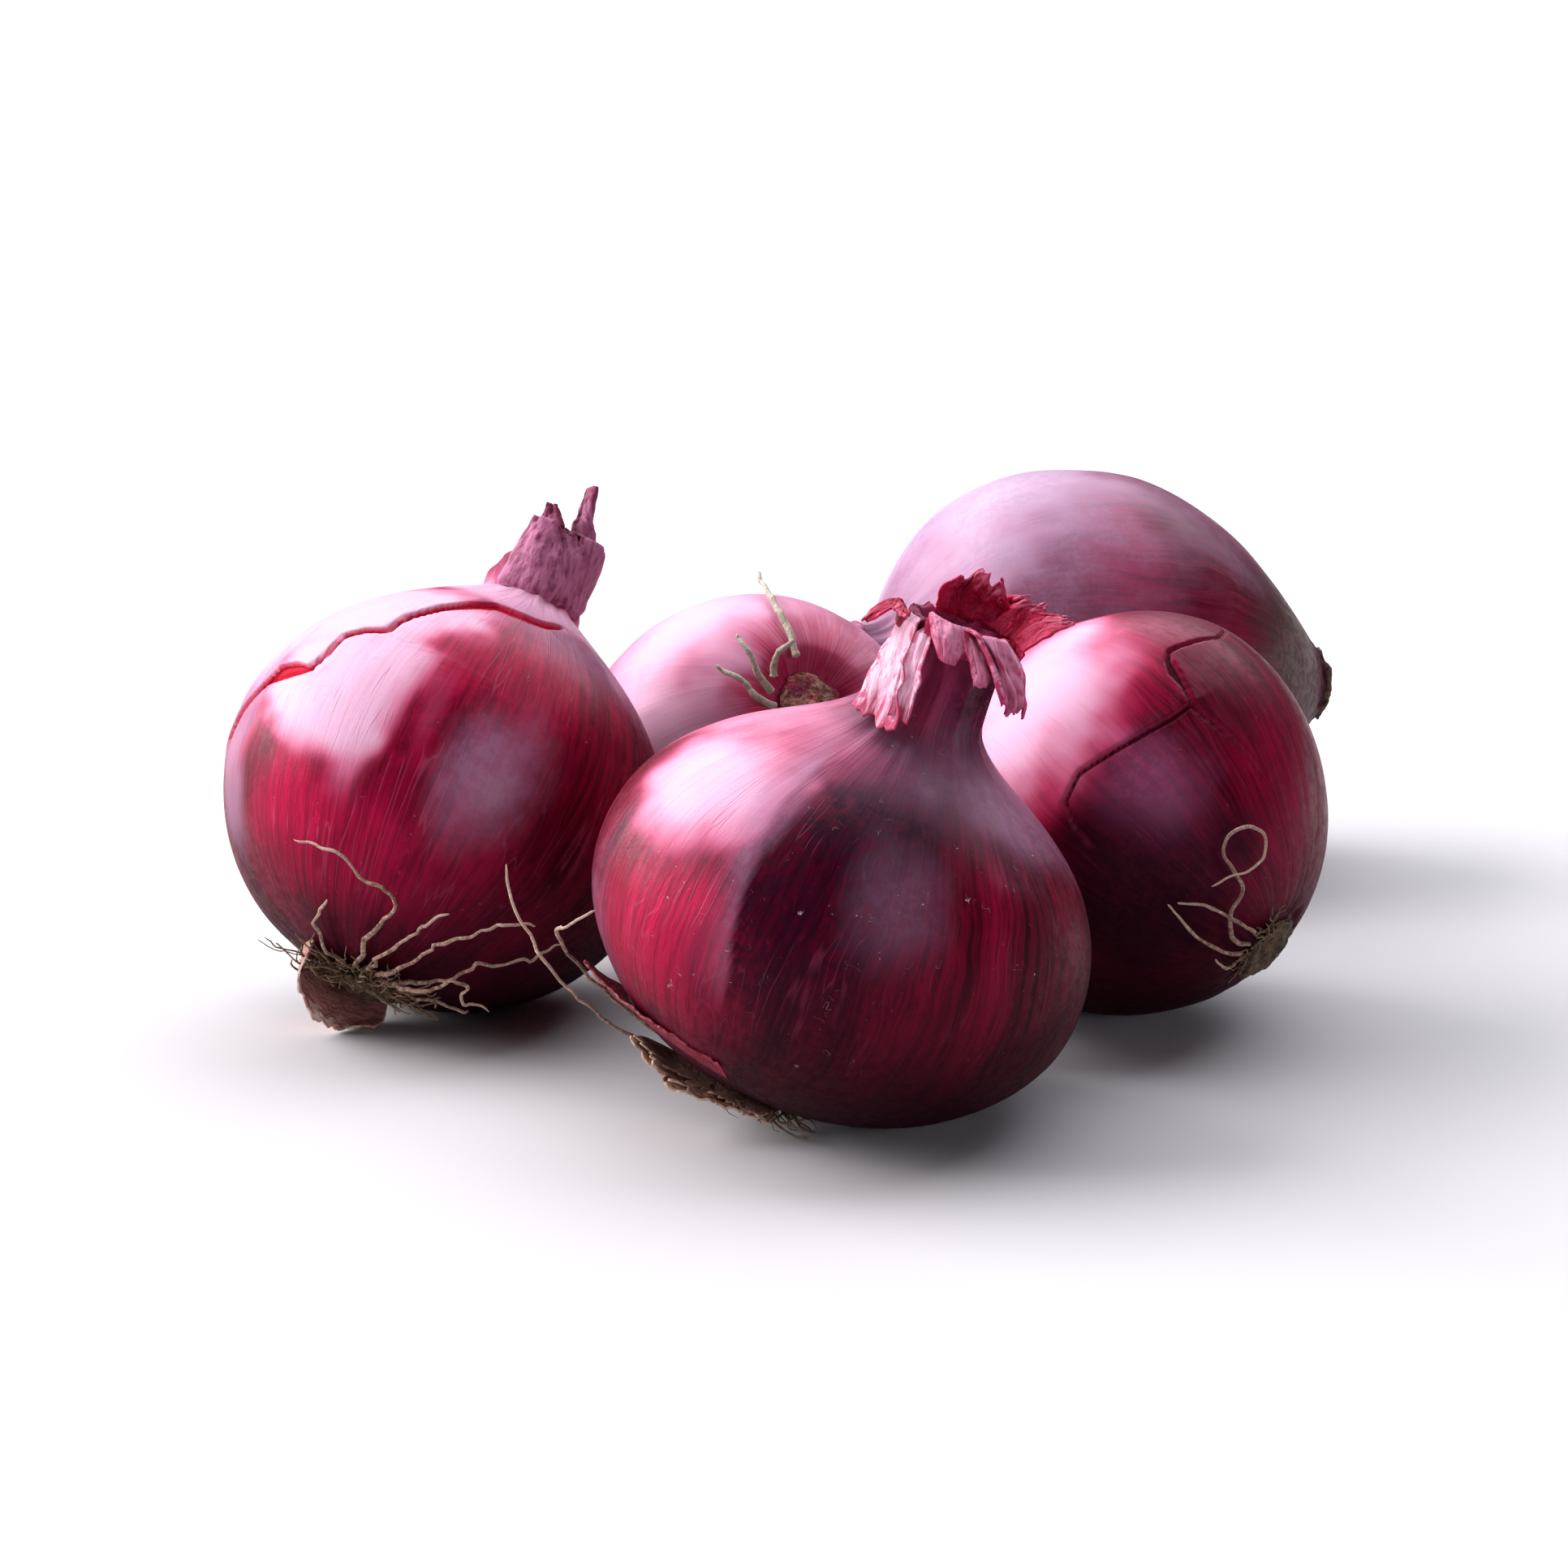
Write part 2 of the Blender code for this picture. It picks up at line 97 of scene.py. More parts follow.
class Mark(Enum):
    """Values painted on a mesh's points for its material to read."""

    VIVID = "vivid"  # bright red skin
    DUSK_AND_SHADOW = "dusk"  # dark purple mottled skin, and painted shadow by an overlapping skin's edge
    PALE_AND_HIGHLIGHT = "pale"  # pale pink skin and painted highlight
    BLOOM = "bloom"  # painted lilac sheen and reflection
    SHADE = "shade"  # painted shade, nearly black, under the onion; also darker skin by the root end
    NECK = "neck"  # 1 on the neck, 0 on the bulb
    SPLIT = "split"  # millimetres from the edge of the nearest tear, below 0 inside it
    ALONG = "along"  # millimetres along a leaf
    ACROSS = "across"  # millimetres across a leaf
    TIP = "tip"  # 0 at the foot of a leaf or root, 1 at its tip
    UNDER = "under"  # 1 on the under side of a leaf
    EDGE = "edge"  # 0 down the middle of a leaf, 1 at its side edges


# ---------------------------------------------------------------- numbers


def smooth_step(value: np.ndarray, low: float, high: float) -> np.ndarray:
    """Rise smoothly from 0 at low to 1 at high.

    Args:
        value: the values to read.
        low: where the result is 0.
        high: where the result is 1; it may be under low.

    Returns:
        The results, in the shape of value.
    """
    share = np.clip((value - low) / (high - low), 0.0, 1.0)
    return share * share * (3.0 - 2.0 * share)


def smooth_through(knots: Sequence[Sequence[float]], steps: int) -> np.ndarray:
    """Follow a smooth line through knots.

    Args:
        knots: the knots, each with the same count of values.
        steps: the count of points from one knot to the next.

    Returns:
        One row for each point, both end knots included.
    """
    points = np.asarray(knots, float)
    padded = np.vstack([points[0], points, points[-1]])
    t = (np.arange(steps) / steps)[:, None]
    rows = []
    for a, b, c, d in zip(padded, padded[1:], padded[2:], padded[3:]):
        rows.append(
            0.5 * (2 * b + (c - a) * t + (2 * a - 5 * b + 4 * c - d) * t**2 + (3 * b - a - 3 * c + d) * t**3)
        )
    return np.vstack([*rows, points[-1:]])


def bezier(corners: Sequence[tuple[float, float]], count: int) -> np.ndarray:
    """Follow a cubic curve.

    Args:
        corners: its start, its two pulls and its end.
        count: how many points to give.

    Returns:
        The points, one to a row.
    """
    a, b, c, d = np.asarray(corners, float)
    t = np.linspace(0.0, 1.0, count)[:, None]
    return (1 - t) ** 3 * a + 3 * t * (1 - t) ** 2 * b + 3 * t**2 * (1 - t) * c + t**3 * d


def unwrapped(knots: Sequence[Knot]) -> np.ndarray:
    """Let angles run on past half a turn.

    Args:
        knots: rows that begin with an angle in degrees.

    Returns:
        The rows, with each angle taken the short way from the one before.
    """
    rows = np.asarray(knots, float)
    rows[:, 0] = np.unwrap(rows[:, 0], period=360.0)
    return rows


def turned(angle: np.ndarray) -> np.ndarray:
    """Give the unit vectors at these angles in degrees, in plan."""
    radians = np.radians(angle)
    return np.stack([np.cos(radians), np.sin(radians)], axis=-1)


class SmoothNoise:
    """A smooth random field over space, from -1 to 1, that is the same on every run."""

    CELLS = 64

    def __init__(self, seed: int) -> None:
        """Fill the lattice from this seed."""
        self.lattice = np.random.default_rng(seed).uniform(-1.0, 1.0, (self.CELLS,) * 3)

    def at(self, points: np.ndarray) -> np.ndarray:
        """Read the field.

        Args:
            points: rows of x, y and z, where one unit is one cell.

        Returns:
            One value for each row.
        """
        base = np.floor(points).astype(int)
        share = points - base
        share = share * share * (3.0 - 2.0 * share)
        total = np.zeros(points.shape[:-1])
        for corner in product((0, 1), repeat=3):
            index = (base + corner) % self.CELLS
            weight = np.prod(np.where(corner, share, 1.0 - share), axis=-1)
            total += weight * self.lattice[index[..., 0], index[..., 1], index[..., 2]]
        return total

    def layered(self, points: np.ndarray, octaves: int = 3, gain: float = 0.5) -> np.ndarray:
        """Add finer and weaker copies of the field to it.

        Args:
            points: rows of x, y and z, where one unit is one cell of the coarsest copy.
            octaves: the count of copies.
            gain: the strength of each copy over the one before.

        Returns:
            One value for each row.
        """
        return sum(gain**k * self.at(points * 2.0**k + 7.3 * k) for k in range(octaves))


NOISE = SmoothNoise(11)


# ---------------------------------------------------------------- meshes


def add_piece(
    name: str,
    points: np.ndarray,
    faces: list[tuple[int, ...]],
    marks: dict[Mark, np.ndarray],
    material: bpy.types.Material,
    place: Matrix,
) -> bpy.types.Object:
    """Add one piece of an onion to the scene.

    Args:
        name: the piece's name.
        points: rows of x, y and z in millimetres, in the onion's own frame.
        faces: the corners of each face, counter-clockwise seen from outside.
        marks: one value for each point, under each mark.
        material: its finish.
        place: the onion's own frame in the world.

    Returns:
        The new object.
    """
    mesh = bpy.data.meshes.new(name)
    world = np.asarray(place)
    mesh.from_pydata((points @ world[:3, :3].T * MM + world[:3, 3]).tolist(), [], faces)
    mesh.polygons.foreach_set("use_smooth", np.ones(len(mesh.polygons), bool))
    for mark, values in marks.items():
        layer = mesh.attributes.new(mark.value, "FLOAT", "POINT")
        layer.data.foreach_set("value", np.asarray(values, np.float32))
    own = mesh.attributes.new(OWN_PLACE, "FLOAT_VECTOR", "POINT")
    own.data.foreach_set("vector", np.asarray(points, np.float32).reshape(-1))
    mesh.materials.append(material)
    mesh.validate()
    mesh.update()
    piece = bpy.data.objects.new(name, mesh)
    bpy.context.scene.collection.objects.link(piece)
    return piece


def grid_faces(rows: int, columns: int, wraps: bool, first: int = 0) -> list[tuple[int, ...]]:
    """Join the points of a grid, row by row, with four-sided faces.

    Args:
        rows: the count of rows.
        columns: the count of points in a row.
        wraps: whether the last column joins the first.
        first: the index of the grid's first point.

    Returns:
        The faces.
    """
    row, column = np.meshgrid(
        np.arange(rows - 1), np.arange(columns if wraps else columns - 1), indexing="ij"
    )
    beside = (column + 1) % columns
    corners = [
        row * columns + column,
        row * columns + beside,
        (row + 1) * columns + beside,
        (row + 1) * columns + column,
    ]
    return (np.stack(corners, axis=-1).reshape(-1, 4) + first).tolist()


@dataclass
class Shape:
    """Points, faces and marks that are gathered before they become one piece."""

    points: list[np.ndarray] = field(default_factory=list)
    faces: list[tuple[int, ...]] = field(default_factory=list)
    marks: dict[Mark, list[np.ndarray]] = field(default_factory=dict)

    def add(self, points: np.ndarray, faces: Sequence[Sequence[int]], marks: dict[Mark, np.ndarray]) -> None:
        """Add a closed shell.

        Args:
            points: its points.
            faces: its faces, counted from its own first point.
            marks: one value for each of its points, under each mark.
        """
        start = sum(len(part) for part in self.points)
        self.points.append(points)
        self.faces += [tuple(start + corner for corner in face) for face in faces]
        for mark, values in marks.items():
            self.marks.setdefault(mark, []).append(values)

    def add_sheet(self, grid: np.ndarray, thickness: float, marks: dict[Mark, np.ndarray]) -> None:
        """Add a thin closed sheet over a grid of points.

        Args:
            grid: the points, as rows, columns and x, y, z.
            thickness: the distance between its two sides.
            marks: one value for each point of the grid, under each mark.
        """
        rows, columns = grid.shape[:2]
        normal = np.cross(np.gradient(grid, axis=1), np.gradient(grid, axis=0))
        normal /= np.maximum(np.linalg.norm(normal, axis=-1, keepdims=True), 1e-9)
        sides = [(grid + normal * thickness * share).reshape(-1, 3) for share in (0.5, -0.5)]
        count = rows * columns
        upper = grid_faces(rows, columns, False)
        faces = [tuple(face[::-1]) for face in upper]
        faces += [tuple(count + corner for corner in face) for face in upper]
        border = [
            *range(columns - 1),
            *(row * columns + columns - 1 for row in range(rows - 1)),
            *((rows - 1) * columns + column for column in range(columns - 1, 0, -1)),
            *(row * columns for row in range(rows - 1, 0, -1)),
        ]
        for here, there in zip(border, border[1:] + border[:1]):
            faces.append((here, there, count + there, count + here))
        doubled = {mark: np.tile(values.reshape(-1), 2) for mark, values in marks.items()}
        doubled[Mark.UNDER] = np.repeat([0.0, 1.0], count)
        self.add(np.vstack(sides), faces, doubled)

    def add_tube(self, line: np.ndarray, radius: np.ndarray, sides: int = 8) -> None:
        """Add a round tube with closed ends.

        Args:
            line: the points of its middle line.
            radius: its radius at each of them.
            sides: the count of points round it.
        """
        along = np.gradient(line, axis=0)
        along /= np.maximum(np.linalg.norm(along, axis=1, keepdims=True), 1e-9)
        across = np.empty_like(line)
        guide = np.cross(along[0], [0.31, 0.52, 0.79])
        for index, direction in enumerate(along):
            guide = guide - direction * guide.dot(direction)
            guide /= max(np.linalg.norm(guide), 1e-9)
            across[index] = guide
        second = np.cross(along, across)
        turn = turned(np.arange(sides) * 360.0 / sides)
        ring = turn[None, :, :1] * across[:, None] + turn[None, :, 1:] * second[:, None]
        points = (line[:, None] + ring * radius[:, None, None]).reshape(-1, 3)
        count = len(points)
        points = np.vstack(
            [points, line[0] - along[0] * radius[0] * 0.5, line[-1] + along[-1] * radius[-1] * 0.5]
        )
        faces = [tuple(face) for face in grid_faces(len(line), sides, True)]
        last = count - sides
        faces += [(count, (k + 1) % sides, k) for k in range(sides)]
        faces += [(count + 1, last + k, last + (k + 1) % sides) for k in range(sides)]
        tip = np.concatenate([np.repeat(np.linspace(0.0, 1.0, len(line)), sides), [0.0, 1.0]])
        self.add(points, faces, {Mark.TIP: tip})

    def build(self, name: str, material: bpy.types.Material, place: Matrix) -> bpy.types.Object:
        """Make one piece of everything that was added.

        Args:
            name: the piece's name.
            material: its finish.
            place: the onion's own frame in the world.

        Returns:
            The new object.
        """
        marks = {mark: np.concatenate(values) for mark, values in self.marks.items()}
        return add_piece(name, np.vstack(self.points), self.faces, marks, material, place)


# ---------------------------------------------------------------- the onion's form


@dataclass(frozen=True)
class OnionForm:
    """The sizes of one onion, in millimetres and degrees, and the way it lies."""

    name: str
    radius: float
    root_depth: float
    shoulder_height: float
    neck_radius: float
    neck_end_radius: float
    neck_length: float
    heading: float
    lift: float
    root_fullness: float
    shoulder_fullness: float = 0.7
    shoulder_tuck: float = 0.73
    end_dip: float = 2.0  # how far the middle of the neck's end is sunk

    @cached_property
    def side(self) -> np.ndarray:
        """Draw the side of the skin.

        Returns:
            Rows of radius and z, from the root end to the middle of the neck's end.
        """
        flat = ROOT_END_SHARE * self.radius
        depth, foot, neck = self.root_depth, self.shoulder_height, self.neck_radius
        lower = bezier(
            (
                (flat, -depth),
                (self.root_fullness * self.radius, -depth),
                (self.radius, -SIDE_PULL * depth),
                (self.radius, 0),
            ),
            70,
        )
        upper = bezier(
            (
                (self.radius, 0),
                (self.radius, foot * self.shoulder_fullness),
                (neck, foot * self.shoulder_tuck),
                (neck, foot),
            ),
            90,
        )
        top, end = foot + self.neck_length, self.neck_end_radius
        rim = (
            (end, top - 1.0), (end - 0.4, top - 0.1), (end - 1.2, top), (end * 0.6, top - 0.5 * self.end_dip)
        )
        crown = smooth_through((upper[-1], *rim, (0.0, top - self.end_dip)), 8)
        root_end = np.stack([np.linspace(0.0, flat, 9)[:-1], np.full(8, -depth)], axis=1)
        return np.vstack([root_end, lower, upper[1:], crown[1:]])

    @cached_property
    def station(self) -> np.ndarray:
        """The station of each row of the side."""
        return np.concatenate([[0.0], np.cumsum(np.hypot(*np.diff(self.side, axis=0).T))])

    @cached_property
    def outward(self) -> np.ndarray:
        """Find which way the skin faces.

        Returns:
            The outward direction, as radius and z, at each row of the side.
        """
        along = np.gradient(self.side, self.station, axis=0)
        along /= np.linalg.norm(along, axis=1, keepdims=True)
        return np.stack([along[:, 1], -along[:, 0]], axis=1)

    def station_at(self, z: float) -> float:
        """Give the station where the skin passes this z on its way up."""
        climb = self.side[:, 1] <= self.shoulder_height + 0.6 * self.neck_length
        return float(np.interp(z, self.side[climb, 1], self.station[climb]))

    def radius_along(self, station: np.ndarray) -> np.ndarray:
        """Give the skin's radius at these stations."""
        return np.interp(station, self.station, self.side[:, 0])

    def skin(self, angle: np.ndarray, station: np.ndarray, height: np.ndarray | float = 0.0) -> np.ndarray:
        """Find places on the onion.

        Args:
            angle: degrees round the axis.
            station: millimetres along the skin from the root end.
            height: millimetres above the skin.

        Returns:
            The points, in the onion's own frame.
        """
        r, z = (np.interp(station, self.station, self.side[:, k]) for k in (0, 1))
        out, up = (np.interp(station, self.station, self.outward[:, k]) for k in (0, 1))
        flat = turned(angle) * (r + out * height)[..., None]
        return np.concatenate([flat, (z + up * height)[..., None]], axis=-1)

    def neck(self, angle: np.ndarray, rise: np.ndarray, out: np.ndarray) -> np.ndarray:
        """Find places round the neck.

        Args:
            angle: degrees round the axis.
            rise: millimetres above the neck's foot.
            out: millimetres out from the skin, level with it.

        Returns:
            The points, in the onion's own frame.
        """
        z = self.shoulder_height + rise
        climb = self.side[:, 1].argmax()
        wall = np.interp(z, self.side[: climb - 8, 1], self.side[: climb - 8, 0])
        reach = np.maximum(np.where(rise > self.neck_length, self.neck_end_radius, wall) + out, 0.2)
        return np.concatenate([turned(angle) * reach[..., None], z[..., None]], axis=-1)

    @cached_property
    def place(self) -> Matrix:
        """Place the onion's own frame.

        Returns:
            The frame in the world, tipped over and moved so that its box meets its solid's.
        """
        turn = Matrix.Rotation(math.radians(self.heading), 3, "Z") @ Matrix.Rotation(
            math.radians(90.0 - self.lift), 3, "Y"
        )
        low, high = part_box(self.name + "_bulb")
        centre = Vector()
        for axis in range(3):
            along = turn[axis][2]
            across = math.sqrt(max(0.0, 1.0 - along * along))
            ahead = float((self.side[:, 0] * across + self.side[:, 1] * along).max())
            behind = float((self.side[:, 0] * across - self.side[:, 1] * along).max())
            middle = (low[axis] + high[axis]) / 2 - (ahead - behind) / 2 * MM
            centre[axis] = high[axis] - ahead * MM if axis == 2 else middle
        return Matrix.Translation(centre) @ turn.to_4x4()

    def level(self, points: np.ndarray) -> np.ndarray:
        """Give the height over the ground, in millimetres, of points in the onion's own frame."""
        world = np.asarray(self.place)
        return points @ world[2, :3] + world[2, 3] / MM

    def lifted(self, points: np.ndarray, lowest: float) -> np.ndarray:
        """Move the points that are lower than this straight up to it.

        Args:
            points: rows of x, y and z in the onion's own frame.
            lowest: millimetres over the ground.

        Returns:
            The moved points.
        """
        upward = np.asarray(self.place)[2, :3]
        short = np.maximum(lowest - self.level(points), 0.0)
        return points + short[..., None] * upward


# ---------------------------------------------------------------- what grows on a skin


@dataclass(frozen=True)
class Zone:
    """A patch of skin that carries more of one mark."""

    mark: Mark
    angle: float
    station: float
    half_width: float
    half_length: float
    strength: float = 1.0
    soft: float = 0.6  # the share of its radius over which it fades
    slant: float = 0.0  # degrees that its length leans towards higher angles

    def values(
        self, form: OnionForm, angle: np.ndarray, station: np.ndarray, wander: np.ndarray
    ) -> np.ndarray:
        """Measure the patch at each place.

        Args:
            form: the onion.
            angle: degrees round its axis.
            station: millimetres along its skin.
            wander: a random field that makes the patch's edge uneven.

        Returns:
            From 0 outside the patch to its strength in the middle.
        """
        turn = (angle - self.angle + 180.0) % 360.0 - 180.0
        x = np.radians(turn) * form.radius_along(station)
        y = station - self.station
        lean = math.radians(self.slant)
        x, y = x * math.cos(lean) - y * math.sin(lean), x * math.sin(lean) + y * math.cos(lean)
        away = np.hypot(x / self.half_width, y / self.half_length) + 0.3 * wander
        return self.strength * smooth_step(away, 1.0 + 0.5 * self.soft, 1.0 - self.soft)


@dataclass(frozen=True)
class Tear:
    """A split in the outer skin along a path of (angle, station, half width)."""

    path: tuple[Knot, ...]
    depth: float = 0.8
    lip: float = 0.3  # how far its edges curl up
    drop: float = 0.0  # how much lower the skin lies on the right of the path
    fade: float = 9.0  # the distance over which the drop dies out

    def measure(
        self, form: OnionForm, angle: np.ndarray, station: np.ndarray
    ) -> tuple[np.ndarray, np.ndarray]:
        """Find how far each place is from the split.

        Args:
            form: the onion.
            angle: degrees round its axis.
            station: millimetres along its skin.

        Returns:
            The distance from the split's edge, below 0 inside it, and the side of the path: 1 on its left, -1
            on its right and 0 straight on beyond its ends.
        """
        scale = np.radians(1.0) * form.radius_along(station)
        gap = np.full(angle.shape, np.inf)
        side = np.ones(angle.shape)
        for (a0, s0, w0), (a1, s1, w1) in zip(self.path, self.path[1:]):
            x = ((angle - a0 + 180.0) % 360.0 - 180.0) * scale
            y = station - s0
            run, rise = (a1 - a0) * scale, s1 - s0
            share = np.clip((x * run + y * rise) / (run * run + rise * rise), 0.0, 1.0)
            reach = np.hypot(x - share * run, y - share * rise)
            away = reach - (w0 + (w1 - w0) * share)
            across = (run * y - rise * x) / np.maximum(np.hypot(run, rise) * reach, 1e-6)
            nearer = away < gap
            gap = np.where(nearer, away, gap)
            side = np.where(nearer, np.clip(across, -1.0, 1.0), side)
        return gap, side

    def relief(self, gap: np.ndarray, side: np.ndarray) -> np.ndarray:
        """Shape the skin by the split.

        Args:
            gap: the distance from its edge, as measure gives it.
            side: the side of its path, as measure gives it.

        Returns:
            The height that it adds to the skin.
        """
        groove = -self.depth * smooth_step(gap, 0.45, -0.05)
        lip = self.lip * smooth_step(gap, 0.0, 0.5) * np.exp(-((np.maximum(gap, 0.0) / 2.2) ** 2))
        lower = -self.drop * np.maximum(-side, 0.0) * np.exp(-np.maximum(gap, 0.0) / self.fade)
        return groove + lip + lower


@dataclass(frozen=True)
class Fold:
    """The edge of a skin that overlaps the next one, along (angle, station) knots, high on its left side."""

    path: tuple[Knot, ...]
    height: float = 0.32
    fade: float = 14.0

    def measure(
        self, form: OnionForm, angle: np.ndarray, station: np.ndarray
    ) -> tuple[np.ndarray, np.ndarray]:
        """Find how far each place is from the edge.

        Args:
            form: the onion.
            angle: degrees round its axis.
            station: millimetres along its skin.

        Returns:
            The distance, above 0 on the high side, and a share that fades towards the path's ends.
        """
        edge = Tear(tuple((*knot, 0.0) for knot in self.path))
        gap, side = edge.measure(form, angle, station)
        lowest, highest = min(knot[1] for knot in self.path), max(knot[1] for knot in self.path)
        ends = smooth_step(
            station, highest + 2.0, highest - 8.0
        ) * smooth_step(station, lowest - 2.0, lowest + 8.0)
        return gap * side, ends

    def relief(self, form: OnionForm, angle: np.ndarray, station: np.ndarray) -> np.ndarray:
        """Shape the skin by the overlap.

        Args:
            form: the onion.
            angle: degrees round its axis.
            station: millimetres along its skin.

        Returns:
            The height that it adds to the skin at each place.
        """
        signed, ends = self.measure(form, angle, station)
        return self.height * ends * smooth_step(signed, -0.9, 0.9) * np.exp(
            -np.maximum(signed, 0.0) / self.fade
        )


# ---------------------------------------------------------------- node trees


class Sketch:
    """Adds nodes to a tree, one line each."""

    def __init__(self, tree: bpy.types.NodeTree) -> None:
        """Work on this tree."""
        self.tree = tree

    def node(self, kind: str, **settings: object) -> bpy.types.Node:
        """Add a node.

        Args:
            kind: its type.
            settings: the properties to set on it.

        Returns:
            The new node.
        """
        made = self.tree.nodes.new(kind)
        for name, value in settings.items():
            setattr(made, name, value)
        return made

    def feed(self, socket: bpy.types.NodeSocket, value: object) -> None:
        """Link or set an input.

        Args:
            socket: the input.
            value: a socket to link to it, or a value to set it to.
        """
        if isinstance(value, bpy.types.NodeSocket):
            self.tree.links.new(value, socket)
        elif isinstance(value, tuple) and socket.type == "RGBA":
            socket.default_value = (*value, 1.0)
        else:
            socket.default_value = value

    def math(self, operation: str, a: object, b: object = 0.0, clamp: bool = False) -> bpy.types.NodeSocket:
        """Add a Math node.

        Args:
            operation: what it does.
            a: its first input.
            b: its second input.
            clamp: whether its result stays from 0 to 1.

        Returns:
            Its result.
        """
        made = self.node("ShaderNodeMath", operation=operation, use_clamp=clamp)
        self.feed(made.inputs[0], a)
        self.feed(made.inputs[1], b)
        return made.outputs[0]

    def vector(self, operation: str, a: object, b: object = (0.0, 0.0, 0.0)) -> bpy.types.NodeSocket:
        """Add a Vector Math node.

        Args:
            operation: what it does.
            a: its first input.
            b: its second input, or the number to scale by.

        Returns:
            Its vector, or its number for a length.
        """
        made = self.node("ShaderNodeVectorMath", operation=operation)
        self.feed(made.inputs[0], a)
        self.feed(made.inputs[3 if operation == "SCALE" else 1], b)
        return made.outputs[1 if operation == "LENGTH" else 0]

    def mark(self, mark: Mark) -> bpy.types.NodeSocket:
        """Read a mark from the mesh."""
        return self.node("ShaderNodeAttribute", attribute_name=mark.value).outputs["Fac"]

    def noise(
        self,
        vector: object,
        scale: float,
        detail: float = 2.0,
        roughness: float = 0.5,
        distortion: float = 0.0,
    ) -> bpy.types.NodeSocket:
        """Add a Noise Texture.

        Args:
            vector: the place that it is read at.
            scale: how small its blotches are.
            detail: how many finer layers it has.
            roughness: how strong the finer layers are.
            distortion: how far it is swirled.

        Returns:
            Its value, about 0.5 on the whole.
        """
        made = self.node("ShaderNodeTexNoise")
        self.feed(made.inputs["Vector"], vector)
        for name, value in (
            ("Scale", scale), ("Detail", detail), ("Roughness", roughness), ("Distortion", distortion)
        ):
            self.feed(made.inputs[name], value)
        return made.outputs["Fac"]

    def ramp(
        self, value: object, low: object, high: object, to_low: object = 0.0, to_high: object = 1.0
    ) -> bpy.types.NodeSocket:
        """Rise or fall smoothly between two values.

        Args:
            value: what it follows.
            low: where it starts.
            high: where it ends.
            to_low: what it gives at the start.
            to_high: what it gives at the end.

        Returns:
            The result.
        """
        made = self.node("ShaderNodeMapRange", interpolation_type="SMOOTHSTEP")
        for index, given in enumerate((value, low, high, to_low, to_high)):
            self.feed(made.inputs[index], given)
        return made.outputs[0]

    def mix(self, share: object, a: object, b: object, blend: str = "MIX") -> bpy.types.NodeSocket:
        """Mix two colours.

        Args:
            share: how much of the second there is.
            a: the first colour.
            b: the second colour.
            blend: how the second is laid over the first.

        Returns:
            The mixed colour.
        """
        made = self.node("ShaderNodeMix", data_type="RGBA", blend_type=blend)
        self.feed(made.inputs[0], share)
        self.feed(made.inputs[6], a)
        self.feed(made.inputs[7], b)
        return made.outputs[2]

    def place(self, scale: float = 1.0) -> bpy.types.NodeSocket:
        """Give the place in the onion's own frame, in millimetres times a scale."""
        spot = self.node("ShaderNodeAttribute", attribute_name=OWN_PLACE).outputs["Vector"]
        return self.vector("SCALE", spot, scale)

    def group(self, tree: bpy.types.NodeTree, **inputs: object) -> dict[str, bpy.types.NodeSocket]:
        """Add a node group.

        Args:
            tree: the group's tree.
            inputs: what to feed its inputs, by their names in small letters.

        Returns:
            Its outputs by name.
        """
        made = self.node("ShaderNodeGroup", node_tree=tree)
        for name, value in inputs.items():
            self.feed(made.inputs[name.replace("_", " ").title()], value)
        return {socket.name: socket for socket in made.outputs}


